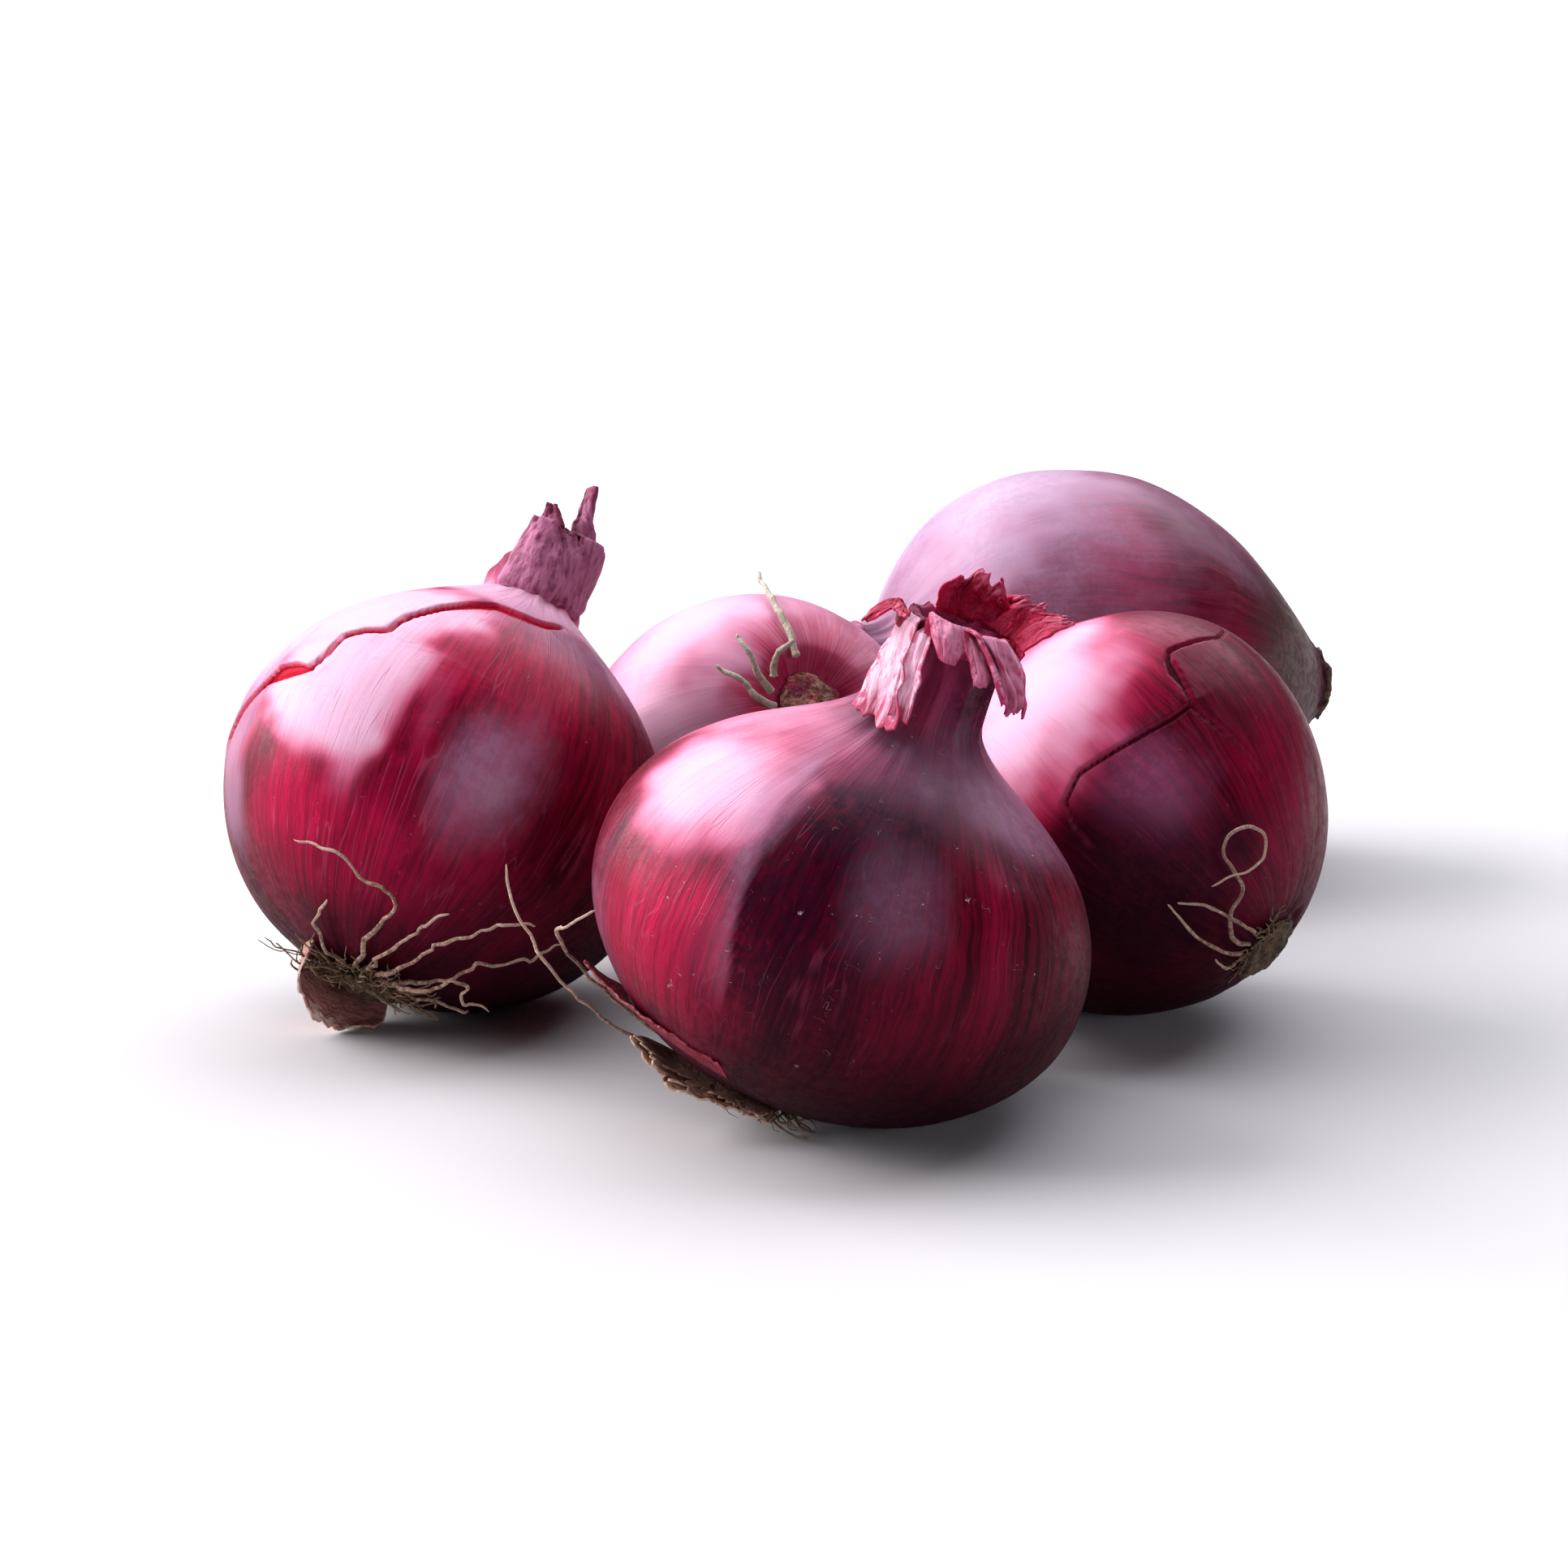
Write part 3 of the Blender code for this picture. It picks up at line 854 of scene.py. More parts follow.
class Effect:
    """A node group that several finishes share, built once."""

    made: dict[str, bpy.types.NodeTree] = {}

    @classmethod
    def tree(
        cls,
        name: str,
        inputs: dict[str, float],
        outputs: Sequence[str],
        draw: Callable[[Sketch, dict[str, bpy.types.NodeSocket]], dict[str, bpy.types.NodeSocket]],
    ) -> bpy.types.NodeTree:
        """Build the group, or give the one that was built before.

        Args:
            name: the group's name.
            inputs: the default of each number that it takes.
            outputs: the names of the values that it gives.
            draw: adds the nodes, and gives the socket for each output.

        Returns:
            The group's tree.
        """
        if name in cls.made:
            return cls.made[name]
        tree = bpy.data.node_groups.new(name, "ShaderNodeTree")
        for label, value in inputs.items():
            socket = tree.interface.new_socket(label, in_out="INPUT", socket_type="NodeSocketFloat")
            socket.default_value = value
        for label in outputs:
            tree.interface.new_socket(label, in_out="OUTPUT", socket_type="NodeSocketFloat")
        sketch = Sketch(tree)
        given = {socket.name: socket for socket in sketch.node("NodeGroupInput").outputs if socket.name}
        ends = sketch.node("NodeGroupOutput")
        for label, socket in draw(sketch, given).items():
            tree.links.new(socket, ends.inputs[label])
        cls.made[name] = tree
        return tree

    @classmethod
    def streaks(cls) -> bpy.types.NodeTree:
        """Draw the bands and veins that run from the root end to the neck.

        Returns:
            The group's tree.
        """

        def draw(s: Sketch, given: dict[str, bpy.types.NodeSocket]) -> dict[str, bpy.types.NodeSocket]:
            """Add the group's nodes.

            Args:
                s: the sketch of the group's tree.
                given: the group's inputs by name.

            Returns:
                The socket for each output.
            """
            place = s.place()
            sway = s.math("SUBTRACT", s.noise(place, 0.045, 2.0), 0.5)
            apart = s.node("ShaderNodeSeparateXYZ")
            s.feed(apart.inputs[0], place)
            flat = s.node("ShaderNodeCombineXYZ")
            s.feed(flat.inputs[0], apart.outputs[0])
            s.feed(flat.inputs[1], apart.outputs[1])
            round_axis = s.node("ShaderNodeVectorMath", operation="NORMALIZE")
            s.feed(round_axis.inputs[0], flat.outputs[0])
            lift = s.node("ShaderNodeCombineXYZ")
            s.feed(lift.inputs[2], s.math("MULTIPLY", apart.outputs[2], given["Rise"]))
            shift = s.node("ShaderNodeCombineXYZ")
            s.feed(shift.inputs[0], s.math("MULTIPLY", sway, given["Sway"]))
            s.feed(shift.inputs[1], s.math("MULTIPLY", sway, given["Sway"]))
            line = s.vector("ADD", s.vector("ADD", round_axis.outputs[0], lift.outputs[0]), shift.outputs[0])
            bands = s.noise(line, given["Bands"], 3.0, 0.6)
            fine = s.noise(line, given["Fine"], 3.0, 0.65)
            vein = s.noise(s.vector("ADD", line, (5.0, 3.0, 1.0)), given["Veins"], 1.0, 0.5)
            ridge = s.math("ABSOLUTE", s.math("SUBTRACT", vein, 0.5))
            broken = s.ramp(s.noise(place, 0.09, 2.0), 0.42, 0.62)
            return {
                "Band": s.ramp(bands, 0.36, 0.64),
                "Fine": s.ramp(fine, 0.36, 0.64),
                "Vein": s.math("MULTIPLY", s.ramp(ridge, given["Width"], 0.0), broken),
            }

        return cls.tree(
            "meridian_streaks",
            {"Bands": 6.0, "Fine": 38.0, "Veins": 15.0, "Width": 0.022, "Rise": 0.0016, "Sway": 0.13},
            ("Band", "Fine", "Vein"),
            draw,
        )

    @classmethod
    def mottle(cls) -> bpy.types.NodeTree:
        """Draw blotches, the finer ones inside them, and a leathery grain.

        Returns:
            The group's tree.
        """

        def draw(s: Sketch, given: dict[str, bpy.types.NodeSocket]) -> dict[str, bpy.types.NodeSocket]:
            """Add the group's nodes.

            Args:
                s: the sketch of the group's tree.
                given: the group's inputs by name.

            Returns:
                The socket for each output.
            """
            place = s.place()
            large = s.noise(place, given["Large"], 3.0, 0.6, 0.4)
            small = s.noise(place, given["Small"], 4.0, 0.75)
            return {
                "Blotch": s.ramp(large, 0.38, 0.62),
                "Speckle": s.ramp(small, 0.4, 0.62),
                "Grain": s.noise(place, given["Grain"], 3.0, 0.6),
            }

        return cls.tree(
            "skin_mottle", {"Large": 0.11, "Small": 0.55, "Grain": 1.6}, ("Blotch", "Speckle", "Grain"), draw
        )

    @classmethod
    def dust(cls) -> bpy.types.NodeTree:
        """Draw pale specks and short curled threads of lint.

        Returns:
            The group's tree.
        """

        def draw(s: Sketch, given: dict[str, bpy.types.NodeSocket]) -> dict[str, bpy.types.NodeSocket]:
            """Add the group's nodes.

            Args:
                s: the sketch of the group's tree.
                given: the group's inputs by name.

            Returns:
                The socket for each output.
            """
            place = s.place()
            speck = s.ramp(s.noise(place, given["Speck Size"], 1.0), 0.76, 0.8)
            where = s.ramp(s.noise(s.vector("ADD", place, (31.0, 7.0, 3.0)), 0.16, 1.0), 0.5, 0.66)
            curl = s.math("ABSOLUTE", s.math("SUBTRACT", s.noise(place, 0.55, 0.0, 0.5, 0.6), 0.5))
            patch = s.ramp(s.noise(s.vector("ADD", place, (3.0, 17.0, 9.0)), 0.42, 0.0), 0.72, 0.76)
            thread = s.math("MULTIPLY", s.ramp(curl, given["Thread Width"], 0.0), patch)
            both = s.math("MAXIMUM", s.math("MULTIPLY", speck, where), thread)
            return {"Dust": s.math("MULTIPLY", both, given["Amount"], clamp=True)}

        return cls.tree(
            "dust_and_lint", {"Speck Size": 1.3, "Thread Width": 0.006, "Amount": 0.6}, ("Dust",), draw
        )

    @classmethod
    def fibres(cls) -> bpy.types.NodeTree:
        """Draw the veins along a dry leaf, with crumpled patches between them.

        Returns:
            The group's tree.
        """

        def draw(s: Sketch, given: dict[str, bpy.types.NodeSocket]) -> dict[str, bpy.types.NodeSocket]:
            """Add the group's nodes.

            Args:
                s: the sketch of the group's tree.
                given: the group's inputs by name.

            Returns:
                The socket for each output.
            """
            spot = s.node("ShaderNodeCombineXYZ")
            s.feed(spot.inputs[0], s.mark(Mark.ACROSS))
            s.feed(spot.inputs[1], s.math("MULTIPLY", s.mark(Mark.ALONG), given["Stretch"]))
            coarse = s.noise(spot.outputs[0], given["Ribs"], 2.0, 0.6, 0.15)
            fine = s.noise(spot.outputs[0], given["Fibres"], 3.0, 0.7)
            crumple = s.noise(s.place(), given["Crumple"], 3.0, 0.6, 0.8)
            return {
                "Rib": s.ramp(coarse, 0.36, 0.64),
                "Fibre": s.ramp(fine, 0.32, 0.68),
                "Crumple": s.ramp(crumple, 0.35, 0.65),
            }

        return cls.tree(
            "leaf_fibres",
            {"Ribs": 1.1, "Fibres": 4.0, "Crumple": 0.45, "Stretch": 0.18},
            ("Rib", "Fibre", "Crumple"),
            draw,
        )


def start_material(name: str) -> tuple[bpy.types.Material, Sketch, bpy.types.Node]:
    """Make an empty material.

    Args:
        name: its name.

    Returns:
        The material, a sketch of its tree and its Principled shader.
    """
    material = bpy.data.materials.new(name)
    material.use_nodes = True
    return material, Sketch(material.node_tree), material.node_tree.nodes["Principled BSDF"]


def add_bump(s: Sketch, shader: bpy.types.Node, height: bpy.types.NodeSocket, strength: float = 1.0) -> None:
    """Raise the surface of a shader.

    Args:
        s: the sketch of the material's tree.
        shader: the Principled shader.
        height: the height in millimetres.
        strength: how much of it shows.
    """
    bump = s.node("ShaderNodeBump")
    bump.inputs["Strength"].default_value = strength
    bump.inputs["Distance"].default_value = MM
    s.feed(bump.inputs["Height"], height)
    s.feed(shader.inputs["Normal"], bump.outputs[0])


# ---------------------------------------------------------------- finishes


LINT: Colour = (0.75, 0.66, 0.66)
DARKNESS: Colour = (0.010, 0.001, 0.003)  # painted shade on a skin that faces the floor; also darkens the skin by a root end
SKIN_SHEEN: Colour = (1.0, 0.28, 0.52)
LEAF_SHEEN: Colour = (1.0, 0.60, 0.75)


@dataclass(frozen=True)
class SkinFinish:
    """The papery skin of one onion."""

    name: str
    slot: Slot
    deep: Colour = (0.036, 0.0006, 0.005)
    rich: Colour = (0.15, 0.0016, 0.018)
    vivid: Colour = (0.46, 0.004, 0.050)
    dusk: Colour = (0.018, 0.0016, 0.009)
    # pale and rosy: colours of the painted highlight, and of the skin's own paler patches
    pale: Colour = (0.72, 0.42, 0.57)
    rosy: Colour = (0.56, 0.06, 0.16)
    bloom: Colour = (0.38, 0.18, 0.30)
    vein: Colour = (0.40, 0.06, 0.13)
    neck: Colour = (0.26, 0.030, 0.085)
    torn: Colour = (0.50, 0.004, 0.02)
    torn_edge: Colour = (0.55, 0.20, 0.30)
    edge_share: float = 0.75
    vein_amount: float = 0.45
    dust_amount: float = 0.5
    coat: float = 0.3
    relief: float = 0.8
    roughness: float = 0.40

    @cached_property
    def material(self) -> bpy.types.Material:
        """Mix the finish.

        Returns:
            Its material, made the first time that it is asked for.
        """
        material, s, shader = start_material(self.name)
        streak = s.group(Effect.streaks())
        mottle = s.group(Effect.mottle())
        dust = s.group(Effect.dust(), amount=self.dust_amount)["Dust"]
        band, fine, vein = streak["Band"], streak["Fine"], streak["Vein"]
        gap = s.mark(Mark.SPLIT)

        base = s.mix(
            s.math("MULTIPLY", band, s.ramp(mottle["Blotch"], 0.0, 1.0, 0.35, 1.0)), self.deep, self.rich
        )
        base = s.mix(s.math("MULTIPLY", fine, 0.22), base, self.vivid)
        base = s.mix(s.math("MULTIPLY", s.mark(Mark.NECK), s.ramp(band, 0.0, 1.0, 0.5, 0.9)), base, self.neck)
        share = s.math("MULTIPLY", s.mark(Mark.VIVID), s.ramp(fine, 0.0, 1.0, 0.55, 1.0))
        base = s.mix(share, base, self.vivid)
        share = s.math("MULTIPLY", s.mark(Mark.DUSK_AND_SHADOW), s.ramp(mottle["Speckle"], 0.36, 0.58, 0.72, 1.0))
        base = s.mix(share, base, self.dusk)
        # painted highlight, partly the skin's own paler patches: rosy at the edge of the pale mark, pale in
        # its middle
        share = s.math("MULTIPLY", s.mark(Mark.PALE_AND_HIGHLIGHT), s.ramp(s.math("ADD", band, fine), 0.2, 1.6, 0.93, 1.0))
        base = s.mix(s.ramp(share, 0.0, 0.5, 0.0, 0.9), base, self.rosy)
        base = s.mix(s.ramp(share, 0.15, 0.95), base, self.pale)
        base = s.mix(s.math("MULTIPLY", vein, self.vein_amount), base, self.vein)
        # painted sheen: lilac reflections painted into the colour
        share = s.math("MULTIPLY", s.mark(Mark.BLOOM), s.ramp(mottle["Speckle"], 0.0, 1.0, 0.78, 1.0))
        base = s.mix(share, base, self.bloom)
        base = s.mix(s.ramp(gap, 0.7, 0.05, 0.0, self.edge_share), base, self.torn_edge)
        ragged = s.math("ADD", gap, s.math("MULTIPLY", s.math("SUBTRACT", mottle["Grain"], 0.5), 0.5))
        inside = s.ramp(ragged, 0.12, -0.08)
        base = s.mix(inside, base, self.torn)
        base = s.mix(dust, base, LINT)
        # painted shade: nearly black under the onion and near the floor, and darker by the root end
        base = s.mix(s.mark(Mark.SHADE), base, DARKNESS)
        s.feed(shader.inputs["Base Color"], base)

        rough = s.ramp(mottle["Speckle"], 0.0, 1.0, self.roughness - 0.05, self.roughness + 0.08)
        rough = s.math("ADD", rough, s.math("MULTIPLY", s.mark(Mark.SHADE), 0.35))
        rough = s.math("ADD", rough, s.math("MULTIPLY", inside, 0.3))
        s.feed(shader.inputs["Roughness"], s.math("ADD", rough, s.math("MULTIPLY", dust, 0.3), clamp=True))
        s.feed(shader.inputs["Coat Weight"], s.ramp(s.mark(Mark.BLOOM), 0.2, 0.9, 0.02, self.coat))
        shader.inputs["Specular IOR Level"].default_value = 0.13
        s.feed(shader.inputs["Specular Tint"], SKIN_SHEEN)
        shader.inputs["Coat Roughness"].default_value = 0.3

        height = s.math("MULTIPLY", band, 0.05)
        height = s.math("ADD", height, s.math("MULTIPLY", fine, 0.02))
        height = s.math("ADD", height, s.math("MULTIPLY", vein, 0.05))
        height = s.math("ADD", height, s.math("MULTIPLY", mottle["Grain"], 0.035))
        height = s.math("SUBTRACT", height, s.math("MULTIPLY", inside, 0.3))
        add_bump(s, shader, s.math("ADD", height, s.math("MULTIPLY", dust, 0.05)), self.relief)
        return material


@dataclass(frozen=True)
class LeafFinish:
    """A dry leaf or a loose skin, with another colour underneath."""

    name: str
    slot: Slot
    upper: Colour
    upper_dark: Colour
    under: Colour
    tip: Colour
    edge: Colour = (0.50, 0.04, 0.12)
    roughness: float = 0.55
    tip_share: float = 0.5
    rib_share: float = 0.8
    fibre_share: float = 0.2
    under_ribs: float = 0.6
    relief: float = 0.9

    @cached_property
    def material(self) -> bpy.types.Material:
        """Mix the finish.

        Returns:
            Its material, made the first time that it is asked for.
        """
        material, s, shader = start_material(self.name)
        fibre = s.group(Effect.fibres())
        # darker between the ribs and in crumpled patches: the leaf's own streaks and, in part, painted shade
        # in its folds
        dark = s.math(
            "MULTIPLY", s.math("SUBTRACT", 1.0, fibre["Rib"]), s.ramp(fibre["Crumple"], 0.0, 1.0, 0.5, 1.0)
        )
        base = s.mix(s.math("MULTIPLY", dark, self.rib_share), self.upper, self.upper_dark)
        under = s.mix(s.math("MULTIPLY", dark, self.under_ribs), self.under, self.upper_dark)
        base = s.mix(s.mark(Mark.UNDER), base, under)
        ragged = s.math(
            "ADD", s.mark(Mark.TIP), s.math("MULTIPLY", s.math("SUBTRACT", fibre["Rib"], 0.5), 0.25)
        )
        base = s.mix(s.math("MULTIPLY", s.ramp(ragged, 0.75, 1.0), self.tip_share), base, self.tip)
        frayed = s.math(
            "ADD", s.mark(Mark.EDGE), s.math("MULTIPLY", s.math("SUBTRACT", fibre["Crumple"], 0.5), 0.5)
        )
        base = s.mix(s.math("MULTIPLY", s.ramp(frayed, 0.7, 1.05), 0.8), base, self.edge)
        base = s.mix(s.math("MULTIPLY", fibre["Fibre"], self.fibre_share), base, self.tip)
        s.feed(shader.inputs["Base Color"], base)
        rough = s.ramp(fibre["Fibre"], 0.0, 1.0, self.roughness - 0.08, self.roughness + 0.12)
        s.feed(shader.inputs["Roughness"], rough)
        shader.inputs["Specular IOR Level"].default_value = 0.2
        s.feed(shader.inputs["Specular Tint"], LEAF_SHEEN)
        height = s.math("MULTIPLY", fibre["Rib"], 0.12)
        height = s.math("ADD", height, s.math("MULTIPLY", fibre["Fibre"], 0.04))
        height = s.math("ADD", height, s.math("MULTIPLY", fibre["Crumple"], 0.2))
        add_bump(s, shader, height, self.relief)
        return material


@dataclass(frozen=True)
class RootFinish:
    """Dry roots, husk and the corky root plate."""

    name: str
    slot: Slot
    light: Colour
    dark: Colour
    tip: Colour
    grain: float = 1.2
    relief: float = 0.25

    @cached_property
    def material(self) -> bpy.types.Material:
        """Mix the finish.

        Returns:
            Its material, made the first time that it is asked for.
        """
        material, s, shader = start_material(self.name)
        mottle = s.group(Effect.mottle(), large=self.grain * 0.4, small=self.grain, grain=self.grain * 2.5)
        base = s.mix(mottle["Blotch"], self.dark, self.light)
        base = s.mix(s.math("MULTIPLY", mottle["Speckle"], 0.5), base, self.tip)
        base = s.mix(s.math("MULTIPLY", s.ramp(s.mark(Mark.TIP), 0.3, 1.0), 0.6), base, self.tip)
        s.feed(shader.inputs["Base Color"], base)
        s.feed(shader.inputs["Roughness"], s.ramp(mottle["Grain"], 0.3, 0.7, 0.6, 0.9))
        shader.inputs["Specular IOR Level"].default_value = 0.2
        height = s.math("MULTIPLY", mottle["Speckle"], self.relief)
        add_bump(s, shader, s.math("ADD", height, s.math("MULTIPLY", mottle["Grain"], self.relief)), 0.9)
        return material


# ---------------------------------------------------------------- sub-assemblies


FAR_GAP = 6.0  # the distance from a split's edge that counts as clear of it


@dataclass(frozen=True)
class Skin:
    """The bulb and neck of one onion."""

    form: OnionForm
    finish: SkinFinish
    zones: tuple[Zone, ...] = ()
    tears: tuple[Tear, ...] = ()
    folds: tuple[Fold, ...] = ()
    fine: tuple[float, float] = (0.0, 0.0)  # the stations between which rows lie three times as close
    rows: int = 230
    columns: int = 380
    lumps: float = 0.6
    rib_depth: float = 1.0  # of the folds down the neck
    rib_count: float = 2.4
    rib_reach: float = 16.0  # how far the neck's folds run out over the shoulder
    shrivel: float = 0.0
    root_dip: float = 0.0  # how far the root end is sunk into the bulb
    root_shade: float = 0.75
    seed: float = 0.0

    def stations(self) -> np.ndarray:
        """Space the rows of points, closer on the neck and between the fine stations.

        Returns:
            The station of each row.
        """
        form = self.form
        even = np.linspace(0.0, form.station[-1], 2000)
        density = 1.0 + 2.0 * ((even > self.fine[0]) & (even < self.fine[1]))
        density += 1.2 * (form.radius_along(even) < 0.35 * form.radius)
        share = np.cumsum(density) - density[0]
        return np.interp(np.linspace(0.0, share[-1], self.rows), share, even)[1:-1]

    def relief(self, angle: np.ndarray, station: np.ndarray, places: np.ndarray) -> np.ndarray:
        """Shape the lumps, the folds down the neck and the sunken root end.

        Args:
            angle: degrees round the axis.
            station: millimetres along the skin from the root end.
            places: the points of the smooth skin, in the onion's own frame.

        Returns:
            The height at each place.
        """
        form = self.form
        shift = self.seed * 3.7
        height = self.lumps * NOISE.at(places * 0.035 + shift)
        height += 0.25 * self.lumps * NOISE.at(places * 0.1 + shift)
        compass = np.concatenate([turned(angle), places[..., 2:] * 0.012], axis=-1)
        height += 0.10 * NOISE.layered(compass * 7.0 + shift, 2)
        foot = form.station_at(form.shoulder_height)
        grip = smooth_step(station, foot - self.rib_reach, foot + 2.0)
        twist = compass * self.rib_count + shift
        rib = 1.0 - 2.2 * np.abs(NOISE.at(twist))
        height += self.rib_depth * grip * (rib - 0.4)
        height += self.rib_depth * 0.35 * grip * NOISE.at(compass * 3.1 * self.rib_count + shift)
        if self.shrivel:
            on_neck = smooth_step(station, foot - 4.0, foot + 1.0)
            height += self.shrivel * on_neck * NOISE.layered(places * 0.22 + shift, 2)
        end = ROOT_END_SHARE * form.radius
        height -= self.root_dip * smooth_step(station, 1.8 * end, 0.8 * end)
        root_grain = smooth_step(station, 1.9 * end, 0.9 * end)
        height += 0.35 * root_grain * NOISE.layered(places * 0.5 + shift, 2)
        return height

    def marks(
        self, angle: np.ndarray, station: np.ndarray, places: np.ndarray, gap: np.ndarray
    ) -> dict[Mark, np.ndarray]:
        """Paint the skin.

        Args:
            angle: degrees round the axis.
            station: millimetres along the skin from the root end.
            places: the points of the smooth skin, in the onion's own frame.
            gap: the distance from the nearest split.

        Returns:
            The value of each mark at each place.
        """
        form = self.form
        wander = NOISE.layered(places * 0.09 + 5.1 + self.seed, 3)
        painted = {
            mark: np.zeros(angle.shape) for mark in (Mark.VIVID, Mark.DUSK_AND_SHADOW, Mark.PALE_AND_HIGHLIGHT, Mark.BLOOM, Mark.SHADE)
        }
        for zone in self.zones:
            values = zone.values(form, angle, station, wander)
            painted[zone.mark] = 1.0 - (1.0 - painted[zone.mark]) * (1.0 - values)
        for fold in self.folds:
            signed, ends = fold.measure(form, angle, station)
            signed = signed + 0.8 * wander
            # darkened on the low side of the edge, partly painted shadow and partly the skin's dark patch; a
            # painted highlight lies on the high side's lip
            below = 0.9 * ends * smooth_step(signed, 0.5, -0.5) * np.exp(np.minimum(signed, 0.0) / 14.0)
            above = 0.5 * ends * smooth_step(signed, -0.4, 0.6) * np.exp(-np.maximum(signed, 0.0) / 3.0)
            painted[Mark.DUSK_AND_SHADOW] = 1.0 - (1.0 - painted[Mark.DUSK_AND_SHADOW]) * (1.0 - below)
            painted[Mark.BLOOM] = 1.0 - (1.0 - painted[Mark.BLOOM]) * (1.0 - above)
        foot = form.station_at(form.shoulder_height)
        painted[Mark.NECK] = smooth_step(station + 2.0 * wander, foot - 7.0, foot + 2.0)
        # painted shade: the skin darkens towards the floor; it darkens by the root end too
        low = smooth_step(form.level(places) + 3.0 * wander, 46.0, 5.0)
        root_end = smooth_step(station + 2.0 * wander, 17.0, 8.0)
        painted[Mark.SHADE] = np.maximum(
            painted[Mark.SHADE], np.maximum(0.93 * low, self.root_shade * root_end)
        )
        painted[Mark.SPLIT] = np.clip(gap, -1.0, FAR_GAP)
        return painted

    def build(self) -> bpy.types.Object:
        """Build the bulb and dress it.

        Returns:
            The new piece.
        """
        form = self.form
        station, angle = np.meshgrid(
            self.stations(), np.arange(self.columns) * 360.0 / self.columns, indexing="ij"
        )
        places = form.skin(angle, station)
        height = self.relief(angle, station, places)
        gap = np.full(angle.shape, FAR_GAP)
        for tear in self.tears:
            away, side = tear.measure(form, angle, station)
            height += tear.relief(away, side)
            gap = np.minimum(gap, away)
        for fold in self.folds:
            height += fold.relief(form, angle, station)
        marks = self.marks(angle, station, places, gap)
        points = form.skin(angle, station, height).reshape(-1, 3)
        poles = form.skin(np.zeros(2), np.array([0.0, form.station[-1]]), np.array([-self.root_dip, 0.0]))
        count, columns = len(points), self.columns
        faces = [tuple(face) for face in grid_faces(station.shape[0], columns, True)]
        last = count - columns
        faces += [(count, (k + 1) % columns, k) for k in range(columns)]
        faces += [(count + 1, last + k, last + (k + 1) % columns) for k in range(columns)]
        values = {}
        for mark, grid in marks.items():
            values[mark] = np.concatenate([grid.reshape(-1), [grid[0].mean(), grid[-1].mean()]])
        points = form.lifted(np.vstack([points, poles]), 0.0)
        piece = add_piece(form.name + "_onion", points, faces, values, self.finish.material, form.place)
        hand_in(piece, self.finish.slot, form.name + "_bulb")
        return piece


@dataclass(frozen=True)
class Lobe:
    """One strip of a dry leaf, along knots of (angle, rise, out, half width)."""

    knots: tuple[Knot, ...]
    ragged: float = 2.0  # how deep its end is torn
    curl: float = 0.8  # how far its edges lift
    pleat: float = 0.35  # the depth of the folds along it
    pleats: float = 2.5  # their count
    crumple: float = 0.5
    thickness: float = 0.35
    teeth: float = 2.4  # how closely its end is torn
    seed: float = 0.0

    def add_to(self, shape: Shape, form: OnionForm, rows: int = 54, columns: int = 34) -> None:
        """Add the strip to a shape.

        Args:
            shape: gathers the leaf's strips.
            form: the onion that it grows on.
            rows: the count of points along it.
            columns: the count of points across it.
        """
        line = smooth_through(unwrapped(self.knots), 24)
        share = np.linspace(0.0, 1.0, rows)[:, None]
        across = np.linspace(-1.0, 1.0, columns)[None, :]
        torn = [across[0] * self.teeth + self.seed, np.full(columns, 0.3), np.full(columns, self.seed)]
        bite = 0.5 + 0.5 * NOISE.layered(np.stack(torn, axis=-1), 3, 0.7)
        length = self.length(form, line)
        reach = 1.0 - np.clip(self.ragged * np.clip(bite, 0.0, 1.0) / max(length, 1e-6), 0.0, 0.8)[None, :]
        where = share * (1.0 - (1.0 - reach) * share**2)
        along = np.linspace(0.0, 1.0, len(line))
        angle, rise, out, half = (np.interp(where, along, line[:, k]) for k in range(4))
        seeds = np.full(where.shape, self.seed * 1.7)
        edge = NOISE.at(np.stack([where * 7.0, np.sign(across) + 0 * where, seeds], axis=-1))
        half = half * (1.0 + 0.18 * edge)
        base = form.neck(angle, rise, out)
        radius = np.maximum(np.linalg.norm(base[..., :2], axis=-1), 2.5)
        spread = np.degrees(half * across / radius)
        wave = NOISE.at(np.stack([across * self.pleats + 0 * where, where * 0.8, seeds + 3.0], axis=-1))
        loose = smooth_step(where, 0.1, 0.6)
        bump = self.pleat * 2.0 * wave * (0.4 + 0.6 * loose) + self.curl * loose * across**2
        places = np.stack([across * 2.4 + 0 * where, where * length * 0.22, seeds], axis=-1)
        bump = bump + self.crumple * loose * NOISE.layered(places, 3, 0.6)
        sway = self.crumple * loose * NOISE.at(places + 9.2) * 6.0
        grid = form.neck(
            angle + spread + sway,
            rise + 0.6 * self.crumple * loose * NOISE.at(places + 4.4),
            out + bump + 0.3 - 0.9 * smooth_step(where, 0.10, 0.0),
        )
        grid = form.lifted(grid, 0.4)
        marks = {
            Mark.ALONG: where * length + 13.0 * self.seed,
            Mark.ACROSS: across * half,
            Mark.TIP: share + 0 * across,
            Mark.EDGE: np.abs(across) + 0 * share,
        }
        shape.add_sheet(grid, self.thickness, marks)

    @staticmethod
    def length(form: OnionForm, line: np.ndarray) -> float:
        """Give the length of a middle line."""
        points = form.neck(line[:, 0], line[:, 1], line[:, 2])
        return float(np.linalg.norm(np.diff(points, axis=0), axis=1).sum())


@dataclass(frozen=True)
class NeckLeaf:
    """A dry leaf at an onion's neck, of one or more strips."""

    name: str
    form: OnionForm
    finish: LeafFinish
    lobes: tuple[Lobe, ...]

    def build(self) -> bpy.types.Object:
        """Build the leaf and dress it.

        Returns:
            The new piece.
        """
        shape = Shape()
        for lobe in self.lobes:
            lobe.add_to(shape, self.form)
        piece = shape.build(self.name + "_piece", self.finish.material, self.form.place)
        hand_in(piece, self.finish.slot, self.name)
        return piece


